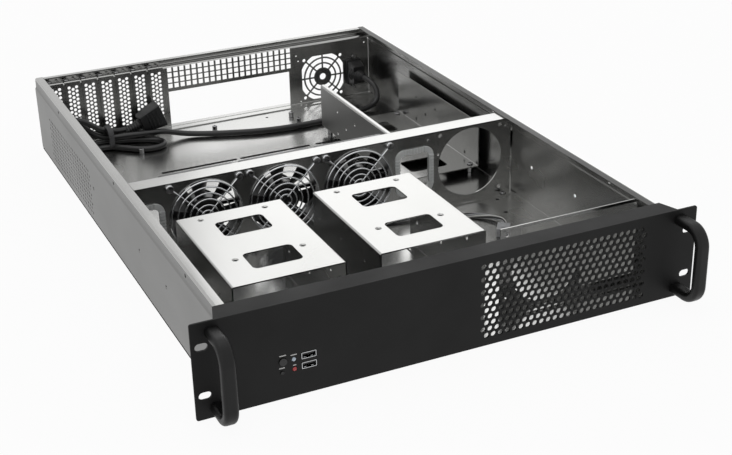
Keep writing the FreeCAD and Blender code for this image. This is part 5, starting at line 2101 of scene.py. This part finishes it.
@dataclass
class Studio:
    """The pale floor, the soft lamps, the white surround and the camera."""

    camera_place: Point = (-0.49971, -1.21261, 0.60468)
    camera_turn: Point = (64.8562, 1.2934, -25.0544)
    lens: float = 67.5715
    sensor: float = 36.0
    floor_size: float = 30.0
    floor_drop: float = 0.0002
    ambient: float = 0.55
    glow: float = 0.94
    paper: float = 0.86
    # The paper's level in the painted shadow beneath the case.
    shaded_paper: float = 0.05
    lamps: Sequence[Lamp] = (Lamp("key_lamp", (1.0, 2.1, 1.25), 1.0, 4.4),
                             Lamp("top_lamp", (-0.3, 0.2, 2.6), 1.8, 8.0),
                             Lamp("fill_lamp", (-2.0, -2.2, 1.4), 2.0, 4.0))

    def build(self) -> None:
        """Set up the stage, lights and camera."""
        bpy.context.scene.view_settings.view_transform = "Standard"
        self.floor()
        self.surround()
        for lamp in self.lamps:
            lamp.hang()
        camera = bpy.data.cameras.new("camera")
        camera.lens = self.lens
        camera.sensor_width = self.sensor
        eye = bpy.data.objects.new("camera", camera)
        eye.location = self.camera_place
        eye.rotation_euler = [math.radians(angle) for angle in self.camera_turn]
        bpy.context.scene.collection.objects.link(eye)
        bpy.context.scene.camera = eye

    def floor(self) -> None:
        """Lay the pale floor, which shows white with a soft shadow and a painted shadow
        beneath the case.
        """
        clear_selection()
        bpy.ops.mesh.primitive_plane_add(size=self.floor_size,
                                         location=(0, 0, -self.floor_drop))
        plane = settle("studio_floor")
        material = bpy.data.materials.new("pale_studio_floor")
        material.use_nodes = True
        tree = material.node_tree
        tree.nodes.clear()
        beneath = self.beneath_case(tree)
        # Beneath the case the paper is near-black and does not glow: a painted shadow.
        paper = add_node(tree, "ShaderNodeBsdfDiffuse", {}, {
            "Color": add_range(tree, beneath, self.paper, self.shaded_paper)})
        glow = add_node(tree, "ShaderNodeEmission", {"Color": (1, 1, 1, 1)})
        share = add_maths(tree, "MULTIPLY", self.seen(tree),
                          add_range(tree, beneath, self.glow, 0.0))
        mixed = add_node(tree, "ShaderNodeMixShader", {}, {
            0: share, 1: paper.outputs[0], 2: glow.outputs[0]})
        add_node(tree, "ShaderNodeOutputMaterial", {}, {"Surface": mixed.outputs[0]})
        plane.data.materials.append(material)

    @staticmethod
    def beneath_case(tree: Tree) -> Socket:
        """Mark the floor beneath the case, which has a painted shadow so that the floor slots
        read dark.

        Args:
            tree: The floor's node tree.

        Returns:
            1 beneath the case and 0 elsewhere.
        """
        low, high = (Vector(corner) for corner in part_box("chassis_tray"))
        where = add_node(tree, "ShaderNodeTexCoord", {}).outputs["Object"]
        place = add_node(tree, "ShaderNodeSeparateXYZ", {}, {"Vector": where})
        within = [add_maths(tree, "COMPARE", place.outputs[axis],
                            (low[axis] + high[axis]) / 2, (high[axis] - low[axis]) / 2)
                  for axis in (X_AXIS, Y_AXIS)]
        return add_maths(tree, "MULTIPLY", *within)

    @staticmethod
    def seen(tree: Tree) -> Socket:
        """Mark the rays that show a surface to the eye.

        Args:
            tree: The node tree that asks.

        Returns:
            1 for camera, glossy and transmission rays, and 0 for the rest.
        """
        rays = add_node(tree, "ShaderNodeLightPath", {}).outputs
        total = rays["Is Camera Ray"]
        for name in ("Is Glossy Ray", "Is Transmission Ray"):
            total = add_maths(tree, "MAXIMUM", total, rays[name])
        return total

    def surround(self) -> None:
        """Make the world white to the eye and a plain soft light for the rest."""
        world = bpy.data.worlds.new("studio")
        bpy.context.scene.world = world
        world.use_nodes = True
        tree = world.node_tree
        tree.nodes.clear()
        level = add_range(tree, self.seen(tree), self.ambient, 1.0)
        sky = add_node(tree, "ShaderNodeBackground", {"Color": (1, 1, 1, 1)},
                       {"Strength": level})
        add_node(tree, "ShaderNodeOutputWorld", {}, {"Surface": sky.outputs[0]})


def main() -> None:
    """Build every sub-assembly in order and the studio round it."""
    logging.basicConfig(level=logging.INFO, format="%(message)s")
    Studio().build()
    PowerLead().build()
    SignalLead().build()
    Tray().build()
    FrontPanel().build()
    for node in ("handle_left", "handle_right"):
        Handle(node).build()
    Controls().build()
    dress_node("psu_plate", ZINC_SHEET)
    FanWall().build()
    Edging("cable_edging_mid", "edging_mid").build()
    Edging("cable_edging_left", "edging_left").build()
    seats: list[Point] = []
    for number in FAN_NUMBERS:
        fan = Fan(number)
        fan.build()
        seats += fan.seats
    PanHead(3.9, 1.1).group("guard_screws", seats, FORWARD, "fan_screws")
    for node in ("drive_cage_left", "drive_cage_right"):
        DriveCage(node).build()
    RearTray().build()
    RearPanel().build()
    Posts().build()


if __name__ == "__main__":
    main()
